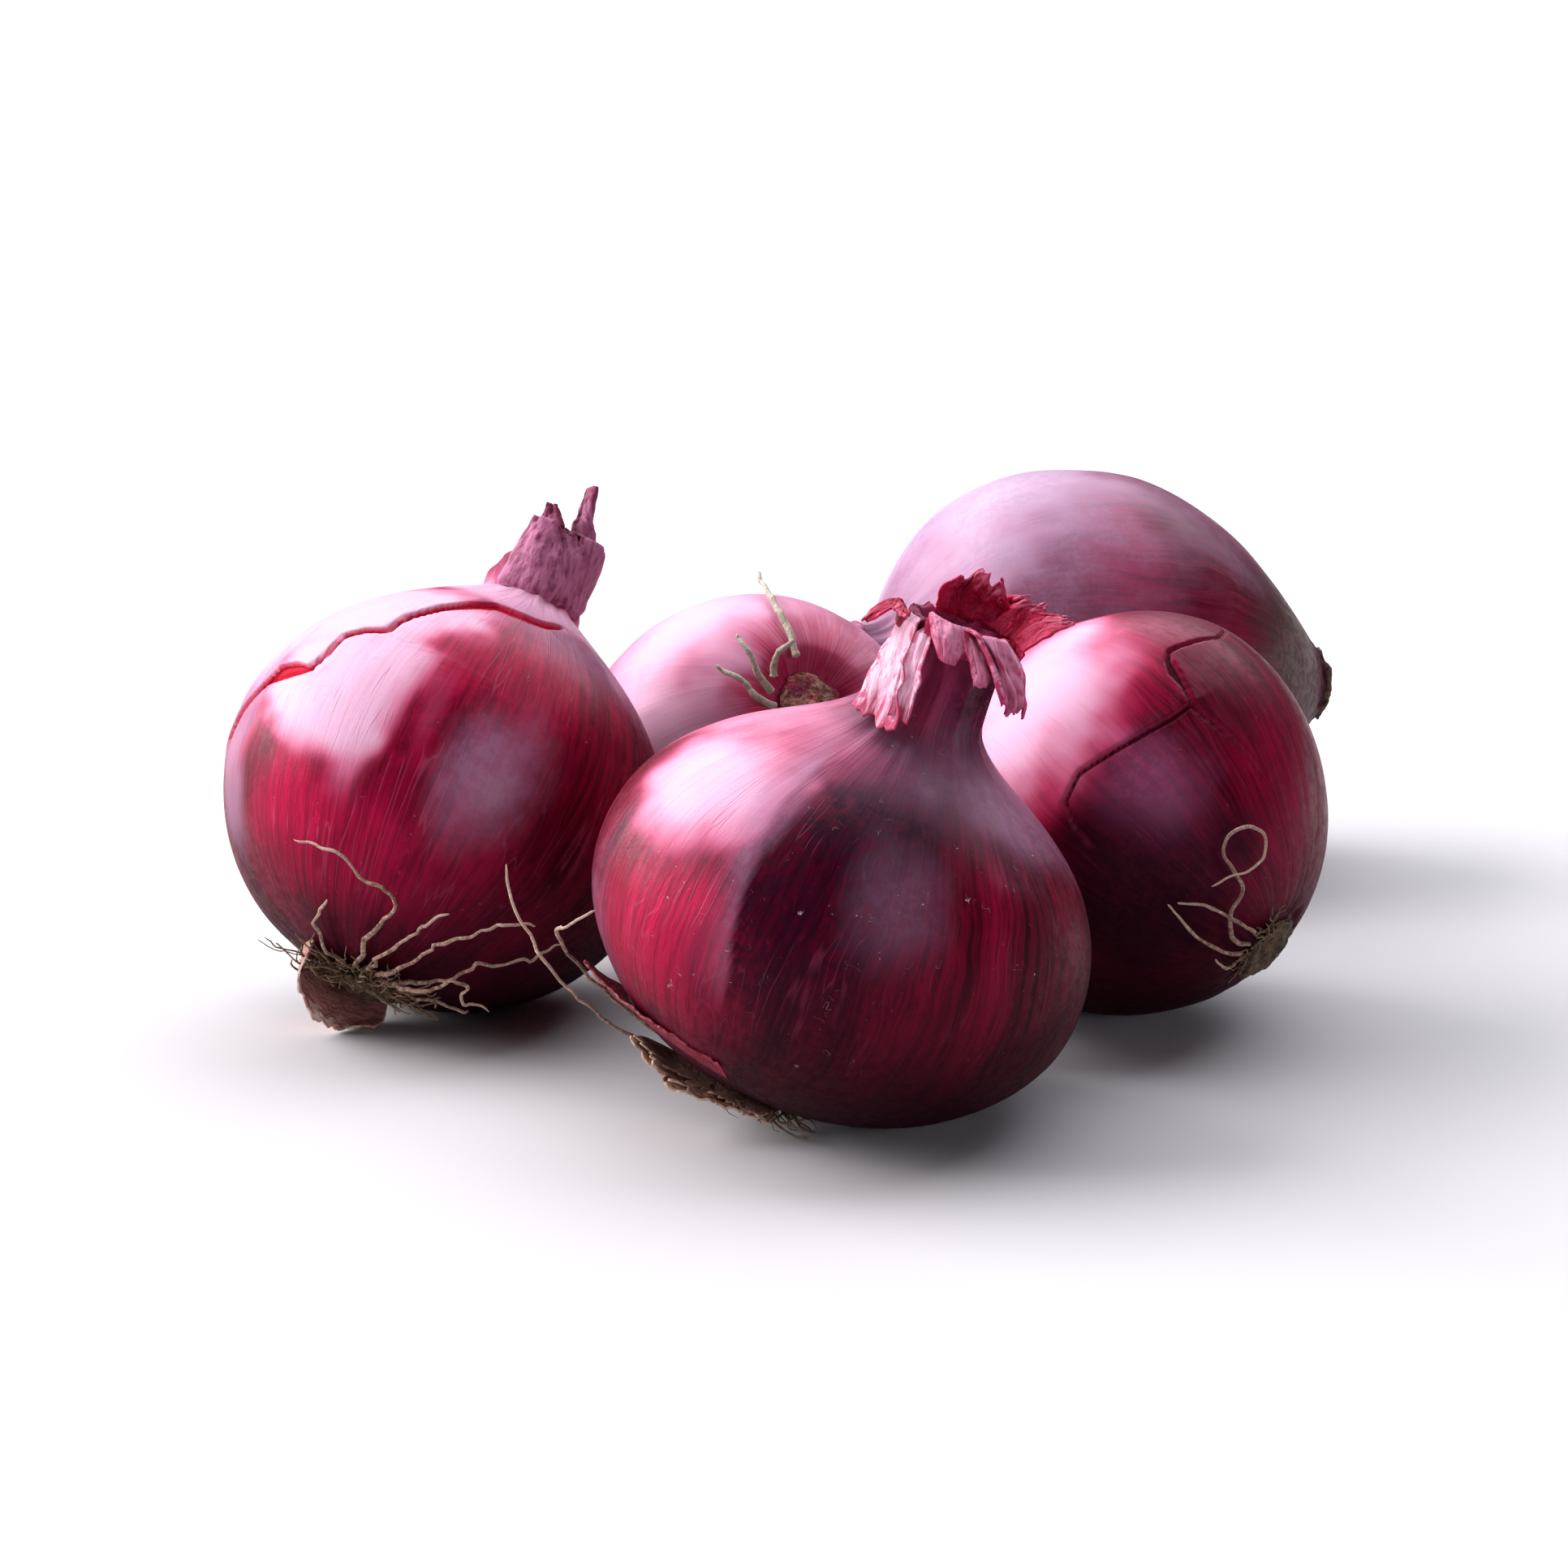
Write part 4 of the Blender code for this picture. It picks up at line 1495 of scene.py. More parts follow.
@dataclass(frozen=True)
class RootSkin:
    """A torn skin by a root end, between an attached and a free edge of (angle, station, height)."""

    name: str
    form: OnionForm
    finish: LeafFinish
    attached: tuple[Knot, ...]
    free: tuple[Knot, ...]
    strips: int = 1
    ragged: float = 0.25
    pleat: float = 0.5
    thickness: float = 0.35

    def build(self, rows: int = 22, columns: int = 110) -> bpy.types.Object:
        """Build the skin and dress it.

        Args:
            rows: the count of points from its attached to its free edge.
            columns: the count of points along it.

        Returns:
            The new piece.
        """
        shape = Shape()
        form = self.form
        edges = []
        for edge in (self.attached, self.free):
            line = smooth_through(unwrapped(edge), 24)
            spots = np.linspace(0.0, 1.0, columns)
            even = np.linspace(0, 1, len(line))
            edges.append(np.stack([np.interp(spots, even, line[:, k]) for k in range(3)], axis=-1))
        for strip in range(self.strips):
            share = np.linspace(0.0, 1.0, rows)[:, None]
            spots = np.linspace(0.0, 1.0, columns)[None, :]
            seeds = np.full((rows, columns), 2.3 * strip + 0.7)
            bite = 0.5 + 0.5 * NOISE.layered(
                np.stack([spots * 9.0 + seeds[:1], seeds[:1], seeds[:1]], axis=-1), 3, 0.75
            )
            reach = 1.0 - (self.ragged + 0.22 * strip) * np.clip(bite, 0.0, 1.0)
            where = share * reach
            place = edges[0][None] * (1.0 - where[..., None]) + edges[1][None] * where[..., None]
            spot = np.stack([spots * 10.0 + 0 * share, where * 2.0, seeds], axis=-1)
            crinkle = 1.6 * NOISE.at(spot) + 0.8 * NOISE.at(spot * 2.7)
            bump = self.pleat * where * crinkle - 0.6 * strip * where
            grid = form.skin(
                place[..., 0],
                place[..., 1] + 0.5 * self.pleat * NOISE.at(spot + 5.0),
                np.maximum(place[..., 2] + bump, 0.2),
            )
            grid = form.lifted(grid, 0.4)
            marks = {
                Mark.ALONG: spots * 40.0 + 0 * share,
                Mark.ACROSS: where * 12.0,
                Mark.TIP: where + 0 * spots,
                Mark.EDGE: np.abs(2.0 * spots - 1.0) ** 8 + 0 * share,
            }
            shape.add_sheet(grid, self.thickness, marks)
        piece = shape.build(self.name + "_piece", self.finish.material, form.place)
        hand_in(piece, self.finish.slot, self.name)
        return piece


@dataclass(frozen=True)
class Root:
    """One dry root along knots of (angle, station, height)."""

    name: str
    form: OnionForm
    finish: RootFinish
    knots: tuple[Knot, ...]
    radius: float = 0.4
    kink: float = 0.9

    def build(self) -> bpy.types.Object:
        """Build the root and dress it.

        Returns:
            The new piece.
        """
        shape = Shape()
        line = root_line(self.form, self.knots, self.kink, sum(map(ord, self.name)) * 0.37, 14, 0.6)
        shape.add_tube(line, root_taper(line, self.radius, sum(map(ord, self.name)) * 0.11), 10)
        piece = shape.build(self.name + "_piece", self.finish.material, self.form.place)
        hand_in(piece, self.finish.slot, self.name)
        return piece


def root_line(
    form: OnionForm, knots: Sequence[Knot], kink: float, seed: float, steps: int, lowest: float
) -> np.ndarray:
    """Follow a root's middle line.

    Args:
        form: the onion.
        knots: its knots, as (angle, station, height).
        kink: millimetres that it wanders.
        seed: picks the way that it wanders.
        steps: the count of points from one knot to the next.
        lowest: millimetres over the ground that it stays above.

    Returns:
        The points, in the onion's own frame.
    """
    places = smooth_through(unwrapped(knots), steps)
    line = form.skin(places[:, 0], places[:, 1], places[:, 2] + 0.8)
    run = np.concatenate([[0.0], np.cumsum(np.linalg.norm(np.diff(line, axis=0), axis=1))])
    for axis in range(3):
        spots = np.stack([run * 0.33, np.full(run.shape, seed), np.full(run.shape, 3.1 * axis)], axis=-1)
        line[:, axis] += kink * NOISE.layered(spots, 2) * smooth_step(run, 0.0, 4.0)
    return form.lifted(line, lowest)


def root_taper(line: np.ndarray, radius: float, seed: float) -> np.ndarray:
    """Thin a root towards its tip.

    Args:
        line: the points of its middle line.
        radius: its radius where it starts.
        seed: picks the way that it swells and shrinks.

    Returns:
        Its radius at each point.
    """
    share = np.linspace(0.0, 1.0, len(line))
    spots = np.stack([share * 14.0, np.full(share.shape, seed), np.zeros(share.shape)], axis=-1)
    swell = 1.0 + 0.22 * NOISE.at(spots)
    point = 1.0 - 0.6 * smooth_step(share, 0.96, 1.0)
    return radius * (1.0 - 0.5 * share) * swell * point


@dataclass(frozen=True)
class RootTuft:
    """Many short fibres round a root plate."""

    name: str
    form: OnionForm
    finish: RootFinish
    count: int
    angles: tuple[float, float]
    reach: tuple[float, float]  # the shortest and longest station of a tip
    rise: float  # the greatest height of a tip
    seed: int
    radius: float = 0.2

    def build(self) -> bpy.types.Object:
        """Build the fibres as one piece and dress them.

        Returns:
            The new piece.
        """
        random = np.random.default_rng(self.seed)
        shape = Shape()
        end = ROOT_END_SHARE * self.form.radius
        for index in range(self.count):
            start = random.uniform(*self.angles)
            tip = start + random.normal(0.0, 14.0)
            far = random.uniform(*self.reach)
            high = random.uniform(0.2, 1.0) * self.rise
            knots = (
                (start, end * random.uniform(0.75, 1.05), 0.0),
                (
                    (start + tip) / 2 + random.normal(0.0, 6.0),
                    (end + far) / 2,
                    high * random.uniform(0.3, 0.9),
                ),
                (tip, far, high),
            )
            line = root_line(self.form, knots, 0.8, 17.0 + index, 8, 0.4)
            thick = self.radius * random.uniform(0.6, 1.4)
            shape.add_tube(line, root_taper(line, thick, float(index)), 6)
        piece = shape.build(self.name, self.finish.material, self.form.place)
        hand_in(piece, self.finish.slot)
        return piece


@dataclass(frozen=True)
class RootPlate:
    """The corky disc that an onion's roots grow from."""

    form: OnionForm
    finish: RootFinish
    sunk: float = 0.0
    bump: float = 0.7

    def build(self, rows: int = 40, columns: int = 72) -> bpy.types.Object:
        """Build the disc and dress it.

        Args:
            rows: the count of points from its upper to its lower middle.
            columns: the count of points round it.

        Returns:
            The new piece.
        """
        form = self.form
        radius = PLATE_SHARE * ROOT_END_SHARE * form.radius
        top = -form.root_depth - CLEARANCE + self.sunk
        profile = (
            (0.0, top), (radius * 0.9, top), (radius, top - 0.5), (radius * 0.97, top - 0.45 * PLATE_HEIGHT)
        )
        profile += (
            (radius * 0.7, top - 0.85 * PLATE_HEIGHT),
            (radius * 0.3, top - PLATE_HEIGHT),
            (0.0, top - PLATE_HEIGHT),
        )
        line = smooth_through(profile, 10)
        spots = np.linspace(0.0, len(line) - 1.0, rows)
        r, z = (np.interp(spots, np.arange(len(line)), line[:, k]) for k in (0, 1))
        turn = turned(np.arange(columns) * 360.0 / columns)
        grid = np.concatenate(
            [r[1:-1, None, None] * turn[None], np.broadcast_to(z[1:-1, None, None], (rows - 2, columns, 1))],
            axis=-1,
        )
        points = grid.reshape(-1, 3)
        shift = len(form.name) * 4.1
        lump = self.bump * NOISE.layered(points * 0.45 + shift, 3, 0.6)
        away = points - [0.0, 0.0, top]
        away /= np.maximum(np.linalg.norm(away, axis=1, keepdims=True), 1e-6)
        points = points + away * (lump * smooth_step(points[:, 2], top, top - 0.6))[:, None]
        points = np.vstack([points, [0.0, 0.0, top], [0.0, 0.0, top - PLATE_HEIGHT]])
        count = len(points) - 2
        faces = [tuple(face[::-1]) for face in grid_faces(rows - 2, columns, True)]
        last = count - columns
        faces += [(count, k, (k + 1) % columns) for k in range(columns)]
        faces += [(count + 1, last + (k + 1) % columns, last + k) for k in range(columns)]
        marks = {Mark.TIP: np.zeros(len(points))}
        points = form.lifted(points, 0.3)
        piece = add_piece(form.name + "_root_disc", points, faces, marks, self.finish.material, form.place)
        hand_in(piece, self.finish.slot, form.name + "_root_plate")
        return piece


def hand_in(piece: bpy.types.Object, slot: Slot, *solids: str) -> None:
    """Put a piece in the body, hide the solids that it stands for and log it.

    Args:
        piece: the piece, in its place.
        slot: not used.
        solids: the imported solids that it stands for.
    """
    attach(piece, BODY)
    if solids:
        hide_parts(*solids)
    LOG.info("%s: %d points for %s", piece.name, len(piece.data.vertices), ", ".join(solids) or "no solid")


# ---------------------------------------------------------------- the bunch


FRONT = OnionForm("front", 40, 27.8, 39.2, 9.2, 8.6, 12.5, 0, 68.5, 0.55, end_dip=4.0)
LEFT = OnionForm("left", 38, 32.2, 39, 8.2, 5, 13, 50, 53.4, 0.59, 0.71, 0.90)
RIGHT = OnionForm("right", 35.5, 34.3, 39.1, 6.5, 5, 4, 144, 33.7, 0.5, 0.61)
REAR = OnionForm("rear", 38, 49, 46, 6.4, 5, 4, 200, 7, 0.12, 0.88)
MIDDLE = OnionForm("middle", 32, 32, 33, 6.6, 5, 4, 115, -37, 0.64, 0.62, 0.62)

FRONT_SKIN = SkinFinish(
    "front_onion_skin",
    Slot.PURPLE_SKIN,
    deep=(0.028, 0.0004, 0.004),
    rich=(0.115, 0.001, 0.011),
    vein_amount=0.22,
)
LEFT_SKIN = SkinFinish(
    "left_onion_skin",
    Slot.CRIMSON_SKIN,
    rich=(0.21, 0.0016, 0.024),
    dust_amount=0.15,
    torn=(0.50, 0.002, 0.02),
    torn_edge=(0.50, 0.003, 0.035),
    edge_share=0.95,
)
RIGHT_SKIN = SkinFinish(
    "right_onion_skin",
    Slot.CRIMSON_SKIN,
    deep=(0.055, 0.0008, 0.008),
    rich=(0.13, 0.0016, 0.018),
    bloom=(0.40, 0.12, 0.26),
    dust_amount=0.1,
    # painted shade: the inside of this onion's tears is nearly black
    torn=(0.05, 0.0, 0.008),
    torn_edge=(0.20, 0.01, 0.035),
    edge_share=0.5, vein_amount=0.12, coat=0.12, relief=0.35,
)
REAR_SKIN = SkinFinish(
    "rear_onion_skin",
    Slot.PURPLE_SKIN,
    deep=(0.07, 0.002, 0.012),
    rich=(0.16, 0.006, 0.028),
    vivid=(0.36, 0.02, 0.07),
    dusk=(0.034, 0.014, 0.007),
    rosy=(0.48, 0.22, 0.33),
    pale=(0.55, 0.48, 0.60),
    bloom=(0.38, 0.22, 0.35),
    neck=(0.45, 0.34, 0.46),
    dust_amount=0.05, vein_amount=0.08, coat=0.12, relief=0.3,
)
MIDDLE_SKIN = SkinFinish(
    "middle_onion_skin",
    Slot.PALE_SKIN,
    deep=(0.42, 0.13, 0.22),
    rich=(0.62, 0.24, 0.36),
    vivid=(0.46, 0.012, 0.07),
    rosy=(0.66, 0.24, 0.38),
    neck=(0.4, 0.12, 0.16),
    dust_amount=0.05, vein_amount=0.12, relief=0.35,
)

PALE_LEAF = LeafFinish(
    "pale_dry_leaf",
    Slot.DRY_PINK_LEAF,
    upper=(0.45, 0.01, 0.07),
    upper_dark=(0.55, 0.12, 0.24),
    under=(0.94, 0.60, 0.74),
    tip=(0.46, 0.02, 0.09),
    edge=(0.52, 0.06, 0.16),
    tip_share=0.9, fibre_share=0.06, under_ribs=0.45, relief=0.45,
)
PINK_LEAF = LeafFinish(
    "dusty_pink_leaf",
    Slot.DRY_PINK_LEAF,
    upper=(0.40, 0.02, 0.08),
    upper_dark=(0.30, 0.012, 0.06),
    under=(0.70, 0.28, 0.42),
    tip=(0.30, 0.02, 0.08),
    edge=(0.42, 0.01, 0.07),
    tip_share=0.8, fibre_share=0.12, under_ribs=0.75, relief=0.6,
)
RED_LEAF = LeafFinish(
    "crimson_dry_leaf",
    Slot.DRY_RED_SKIN,
    upper=(0.36, 0.0008, 0.034),
    upper_dark=(0.13, 0.001, 0.012),
    under=(0.38, 0.0008, 0.034),
    tip=(0.80, 0.20, 0.34),
    edge=(0.50, 0.01, 0.07),
    roughness=0.5, tip_share=0.5, rib_share=0.9, fibre_share=0.05,
)
MAUVE_LEAF = LeafFinish(
    "mauve_dry_leaf",
    Slot.DRY_PINK_LEAF,
    upper=(0.44, 0.15, 0.27),
    upper_dark=(0.13, 0.010, 0.04),
    under=(0.12, 0.01, 0.04),
    tip=(0.16, 0.012, 0.05),
    edge=(0.20, 0.02, 0.06),
    tip_share=0.85, rib_share=0.8, fibre_share=0.06, relief=0.4,
)
RED_FLAP = LeafFinish(
    "red_paper_flap",
    Slot.DRY_RED_SKIN,
    upper=(0.24, 0.004, 0.026),
    upper_dark=(0.08, 0.001, 0.008),
    under=(0.14, 0.003, 0.012),
    tip=(0.36, 0.10, 0.11),
)
BROWN_FLAP = LeafFinish(
    "brown_paper_flap",
    Slot.DRY_RED_SKIN,
    upper=(0.52, 0.21, 0.18),
    upper_dark=(0.22, 0.045, 0.045),
    under=(0.48, 0.17, 0.15),
    tip=(0.90, 0.72, 0.60),
    edge=(0.60, 0.40, 0.32),
    tip_share=0.9,
)
HUSK = LeafFinish(
    "brown_husk",
    Slot.ROOT_HUSK,
    upper=(0.58, 0.36, 0.26),
    upper_dark=(0.14, 0.06, 0.045),
    under=(0.26, 0.11, 0.08),
    tip=(0.74, 0.56, 0.42),
    edge=(0.30, 0.14, 0.10),
    roughness=0.7,
)
BROWN_ROOT = RootFinish(
    "brown_root", Slot.ROOT, (0.20, 0.105, 0.065), (0.07, 0.03, 0.022), (0.36, 0.24, 0.15)
)
STRAW_ROOT = RootFinish("straw_root", Slot.ROOT, (0.36, 0.19, 0.13), (0.16, 0.07, 0.05), (0.78, 0.58, 0.46))
GREEN_ROOT = RootFinish(
    "pale_green_root", Slot.ROOT, (0.62, 0.55, 0.42), (0.42, 0.36, 0.26), (0.72, 0.68, 0.58)
)
CORK = RootFinish(
    "root_cork", Slot.ROOT_PLATE, (0.16, 0.10, 0.06), (0.035, 0.02, 0.015), (0.25, 0.18, 0.11), 0.8, 0.5
)
RED_CORK = RootFinish(
    "red_root_cork", Slot.ROOT_PLATE, (0.48, 0.03, 0.09), (0.12, 0.006, 0.02), (0.55, 0.40, 0.24), 0.4, 0.5
)

# The pale zones are partly painted highlights and the sheen zones are painted sheen and reflections.
SKINS = (
    Skin(
        FRONT,
        FRONT_SKIN,
        zones=(
            Zone(Mark.VIVID, -131, 50, 14, 13, 1.0),
            Zone(Mark.VIVID, -150, 46, 12, 16, 0.5),
            Zone(Mark.VIVID, -120, 38, 9, 12, 0.5),
            Zone(Mark.VIVID, -56, 62, 5, 20, 0.35),
            Zone(Mark.VIVID, -74, 50, 7, 16, 0.25),
            Zone(Mark.VIVID, -98, 100, 9, 7, 0.4),
            Zone(Mark.VIVID, -145, 88, 9, 8, 0.5),
            Zone(Mark.DUSK_AND_SHADOW, -102, 87, 17, 16, 1.0, 0.4),
            Zone(Mark.DUSK_AND_SHADOW, -102, 66, 14, 16, 0.7),
            Zone(Mark.DUSK_AND_SHADOW, -92, 46, 22, 18, 0.4),
            Zone(Mark.PALE_AND_HIGHLIGHT, -150, 74, 14, 13, 0.92, 0.9),
            Zone(Mark.PALE_AND_HIGHLIGHT, -131, 72, 5, 6, 0.4, 0.8),
            Zone(Mark.PALE_AND_HIGHLIGHT, -150, 92, 16, 7, 0.3, 0.8),
            Zone(Mark.BLOOM, -127, 78, 4, 14, 0.5, 0.6, -14),
            Zone(Mark.BLOOM, -84, 70, 8, 10, 0.34, 0.95),
            Zone(Mark.BLOOM, -20, 93, 17, 9, 0.5, 0.8),
            Zone(Mark.BLOOM, -50, 91, 8, 5, 0.2, 0.8),
            Zone(Mark.DUSK_AND_SHADOW, -48, 108, 6, 12, 0.9),
            Zone(Mark.BLOOM, -166, 42, 8, 16, 0.3, 0.8),
            Zone(Mark.BLOOM, 60, 92, 60, 14, 0.5, 0.8),
            Zone(Mark.VIVID, 40, 60, 14, 22, 0.6),
            Zone(Mark.VIVID, 130, 58, 16, 20, 0.6),
            Zone(Mark.DUSK_AND_SHADOW, 85, 70, 14, 20, 0.5),
            Zone(Mark.PALE_AND_HIGHLIGHT, 160, 84, 14, 16, 0.5, 0.8),
        ),
        folds=(Fold(((-113, 44), (-115, 52), (-119, 63), (-121, 70), (-124, 78), (-126, 86), (-128, 94))),),
        seed=1.0, rib_depth=1.0, rib_reach=17.0,
    ),
    Skin(
        LEFT,
        LEFT_SKIN,
        zones=(
            Zone(Mark.VIVID, 180, 41, 11, 9, 1.0),
            Zone(Mark.VIVID, -165, 34, 18, 12, 0.6),
            Zone(Mark.VIVID, -146, 78, 15, 18, 0.6),
            Zone(Mark.VIVID, -128, 72, 9, 16, 0.45),
            Zone(Mark.VIVID, -128, 40, 22, 16, 0.3),
            Zone(Mark.VIVID, 150, 52, 9, 9, 0.8),
            Zone(Mark.PALE_AND_HIGHLIGHT, -176, 57, 13, 8, 0.95, 0.7),
            Zone(Mark.PALE_AND_HIGHLIGHT, -164, 53, 5, 12, 0.5, 0.8),
            Zone(Mark.PALE_AND_HIGHLIGHT, -148, 62, 2.5, 12, 0.2, 0.8),
            Zone(Mark.PALE_AND_HIGHLIGHT, 162, 80, 24, 17, 0.95, 0.5),
            Zone(Mark.PALE_AND_HIGHLIGHT, 176, 66, 17, 9, 0.95, 0.6),
            Zone(Mark.PALE_AND_HIGHLIGHT, -146, 102, 30, 8, 0.8, 0.5),
            Zone(Mark.PALE_AND_HIGHLIGHT, 146, 67, 12, 9, 0.9, 0.6),
            Zone(Mark.BLOOM, 145, 54, 9, 9, 0.7, 0.8),
            Zone(Mark.BLOOM, -122, 97, 18, 6, 0.5, 0.9),
            Zone(Mark.BLOOM, -130, 56, 8, 12, 0.8, 0.95),
            Zone(Mark.BLOOM, 148, 44, 7, 12, 0.55, 0.6),
            Zone(Mark.DUSK_AND_SHADOW, -98, 50, 12, 20, 0.2),
            Zone(Mark.VIVID, -104, 74, 10, 20, 0.35),
            Zone(Mark.BLOOM, -98, 90, 22, 9, 0.5, 0.8),
            Zone(Mark.VIVID, 20, 58, 22, 20, 0.7),
            Zone(Mark.PALE_AND_HIGHLIGHT, 80, 70, 22, 20, 0.5, 0.8),
            Zone(Mark.DUSK_AND_SHADOW, -30, 60, 22, 20, 0.5),
        ),
        tears=(
            Tear(
                (
                    (139, 51, 0.15), (143, 54, 0.4), (147, 56, 0.15), (152, 58, 0.1), (157, 60.2, 0.3),
                    (161, 61.8, 1.3), (167, 62.6, 1.1), (173, 63, 0.2), (175, 66, 0.12), (176, 71, 0.15),
                    (181, 73, 0.15), (187, 74, 0.1), (188, 79, 0.2), (193, 85, 0.5), (200, 90, 0.9),
                    (208, 93, 1.0), (222, 93, 0.9), (233, 94, 0.6), (243, 97, 0.05),
                ),
                0.8, 0.22, 0.45,
            ),
        ),
        fine=(49.0, 100.0),
        rows=300, columns=330, shrivel=1.5, rib_depth=0.6, rib_reach=12.0, seed=2.0,
    ),
    Skin(
        RIGHT,
        RIGHT_SKIN,
        zones=(
            Zone(Mark.PALE_AND_HIGHLIGHT, 124, 70, 19, 15, 1.0, 0.95),
            Zone(Mark.PALE_AND_HIGHLIGHT, 148, 80, 16, 9, 0.6, 0.95),
            Zone(Mark.VIVID, 156, 66, 13, 13, 0.6, 0.9),
            Zone(Mark.VIVID, 130, 56, 14, 4, 0.5),
            Zone(Mark.BLOOM, 134, 44, 8, 9, 0.5, 0.95),
            # painted shade low on this side of the onion
            Zone(Mark.SHADE, 88, 28, 20, 20, 0.85, 0.9),
            Zone(Mark.BLOOM, 176, 68, 18, 7, 0.12, 0.8),
            Zone(Mark.VIVID, 178, 32, 12, 18, 0.15),
            Zone(Mark.DUSK_AND_SHADOW, 108, 34, 20, 16, 0.8),
            Zone(Mark.DUSK_AND_SHADOW, 168, 50, 8, 10, 0.4),
            Zone(Mark.VIVID, 108, 55, 5, 4, 0.9),
            Zone(Mark.VIVID, -90, 60, 26, 22, 0.6),
            Zone(Mark.DUSK_AND_SHADOW, -30, 55, 26, 22, 0.6),
            Zone(Mark.PALE_AND_HIGHLIGHT, 30, 70, 20, 18, 0.5, 0.8),
        ),
        tears=(
            Tear(
                (
                    (108, 44, 0.0), (109, 48, 0.0), (112, 52, 0.05), (120, 53.6, 0.1), (138, 51.2, 0.16),
                    (150, 50, 0.16), (157, 50, 0.1),
                ),
                0.6, 0.14, 0.5, 8.0,
            ),
            Tear(
                (
                    (157, 50, 0.1), (159, 53, 0.2), (160, 56, 0.7), (162, 58.5, 0.35), (165, 60, 0.1),
                    (175, 59.5, 0.08), (186, 58.5, 0.0), (194, 60, 0.0),
                ),
                0.6, 0.14,
            ),
            Tear(((157, 50, 0.1), (159, 46, 0.1), (162, 40, 0.0), (165, 34, 0.0)), 0.4, 0.1, 0.3, 7.0),
        ),
        fine=(38.0, 66.0),
        rows=250, columns=380, seed=3.0,
    ),
    Skin(
        REAR,
        REAR_SKIN,
        zones=(
            Zone(Mark.PALE_AND_HIGHLIGHT, 186, 92, 30, 22, 0.9, 0.8),
            Zone(Mark.BLOOM, 165, 84, 40, 26, 0.8, 0.8),
            Zone(Mark.BLOOM, -150, 112, 60, 16, 0.85, 0.6),
            Zone(Mark.VIVID, 140, 73, 24, 10, 0.8),
            Zone(Mark.VIVID, 126, 80, 12, 9, 0.4),
            Zone(Mark.DUSK_AND_SHADOW, 92, 24, 70, 20, 0.95, 0.6),
            Zone(Mark.BLOOM, 170, 46, 18, 12, 0.4, 0.8),
        ),
        rows=170, columns=240, seed=4.0,
    ),
    Skin(
        MIDDLE,
        MIDDLE_SKIN,
        zones=(
            Zone(Mark.PALE_AND_HIGHLIGHT, 140, 32, 30, 14, 0.95, 0.8),
            Zone(Mark.VIVID, 0, 2, 90, 14, 1.0, 0.4),
            Zone(Mark.VIVID, -165, 17, 14, 7, 0.6, 0.8),
            Zone(Mark.VIVID, 120, 13, 8, 5, 0.6, 0.8),
            Zone(Mark.PALE_AND_HIGHLIGHT, 90, 30, 16, 16, 0.8, 0.8),
        ),
        rows=170, columns=240, root_dip=3.2, root_shade=0.2, seed=5.0,
    ),
)

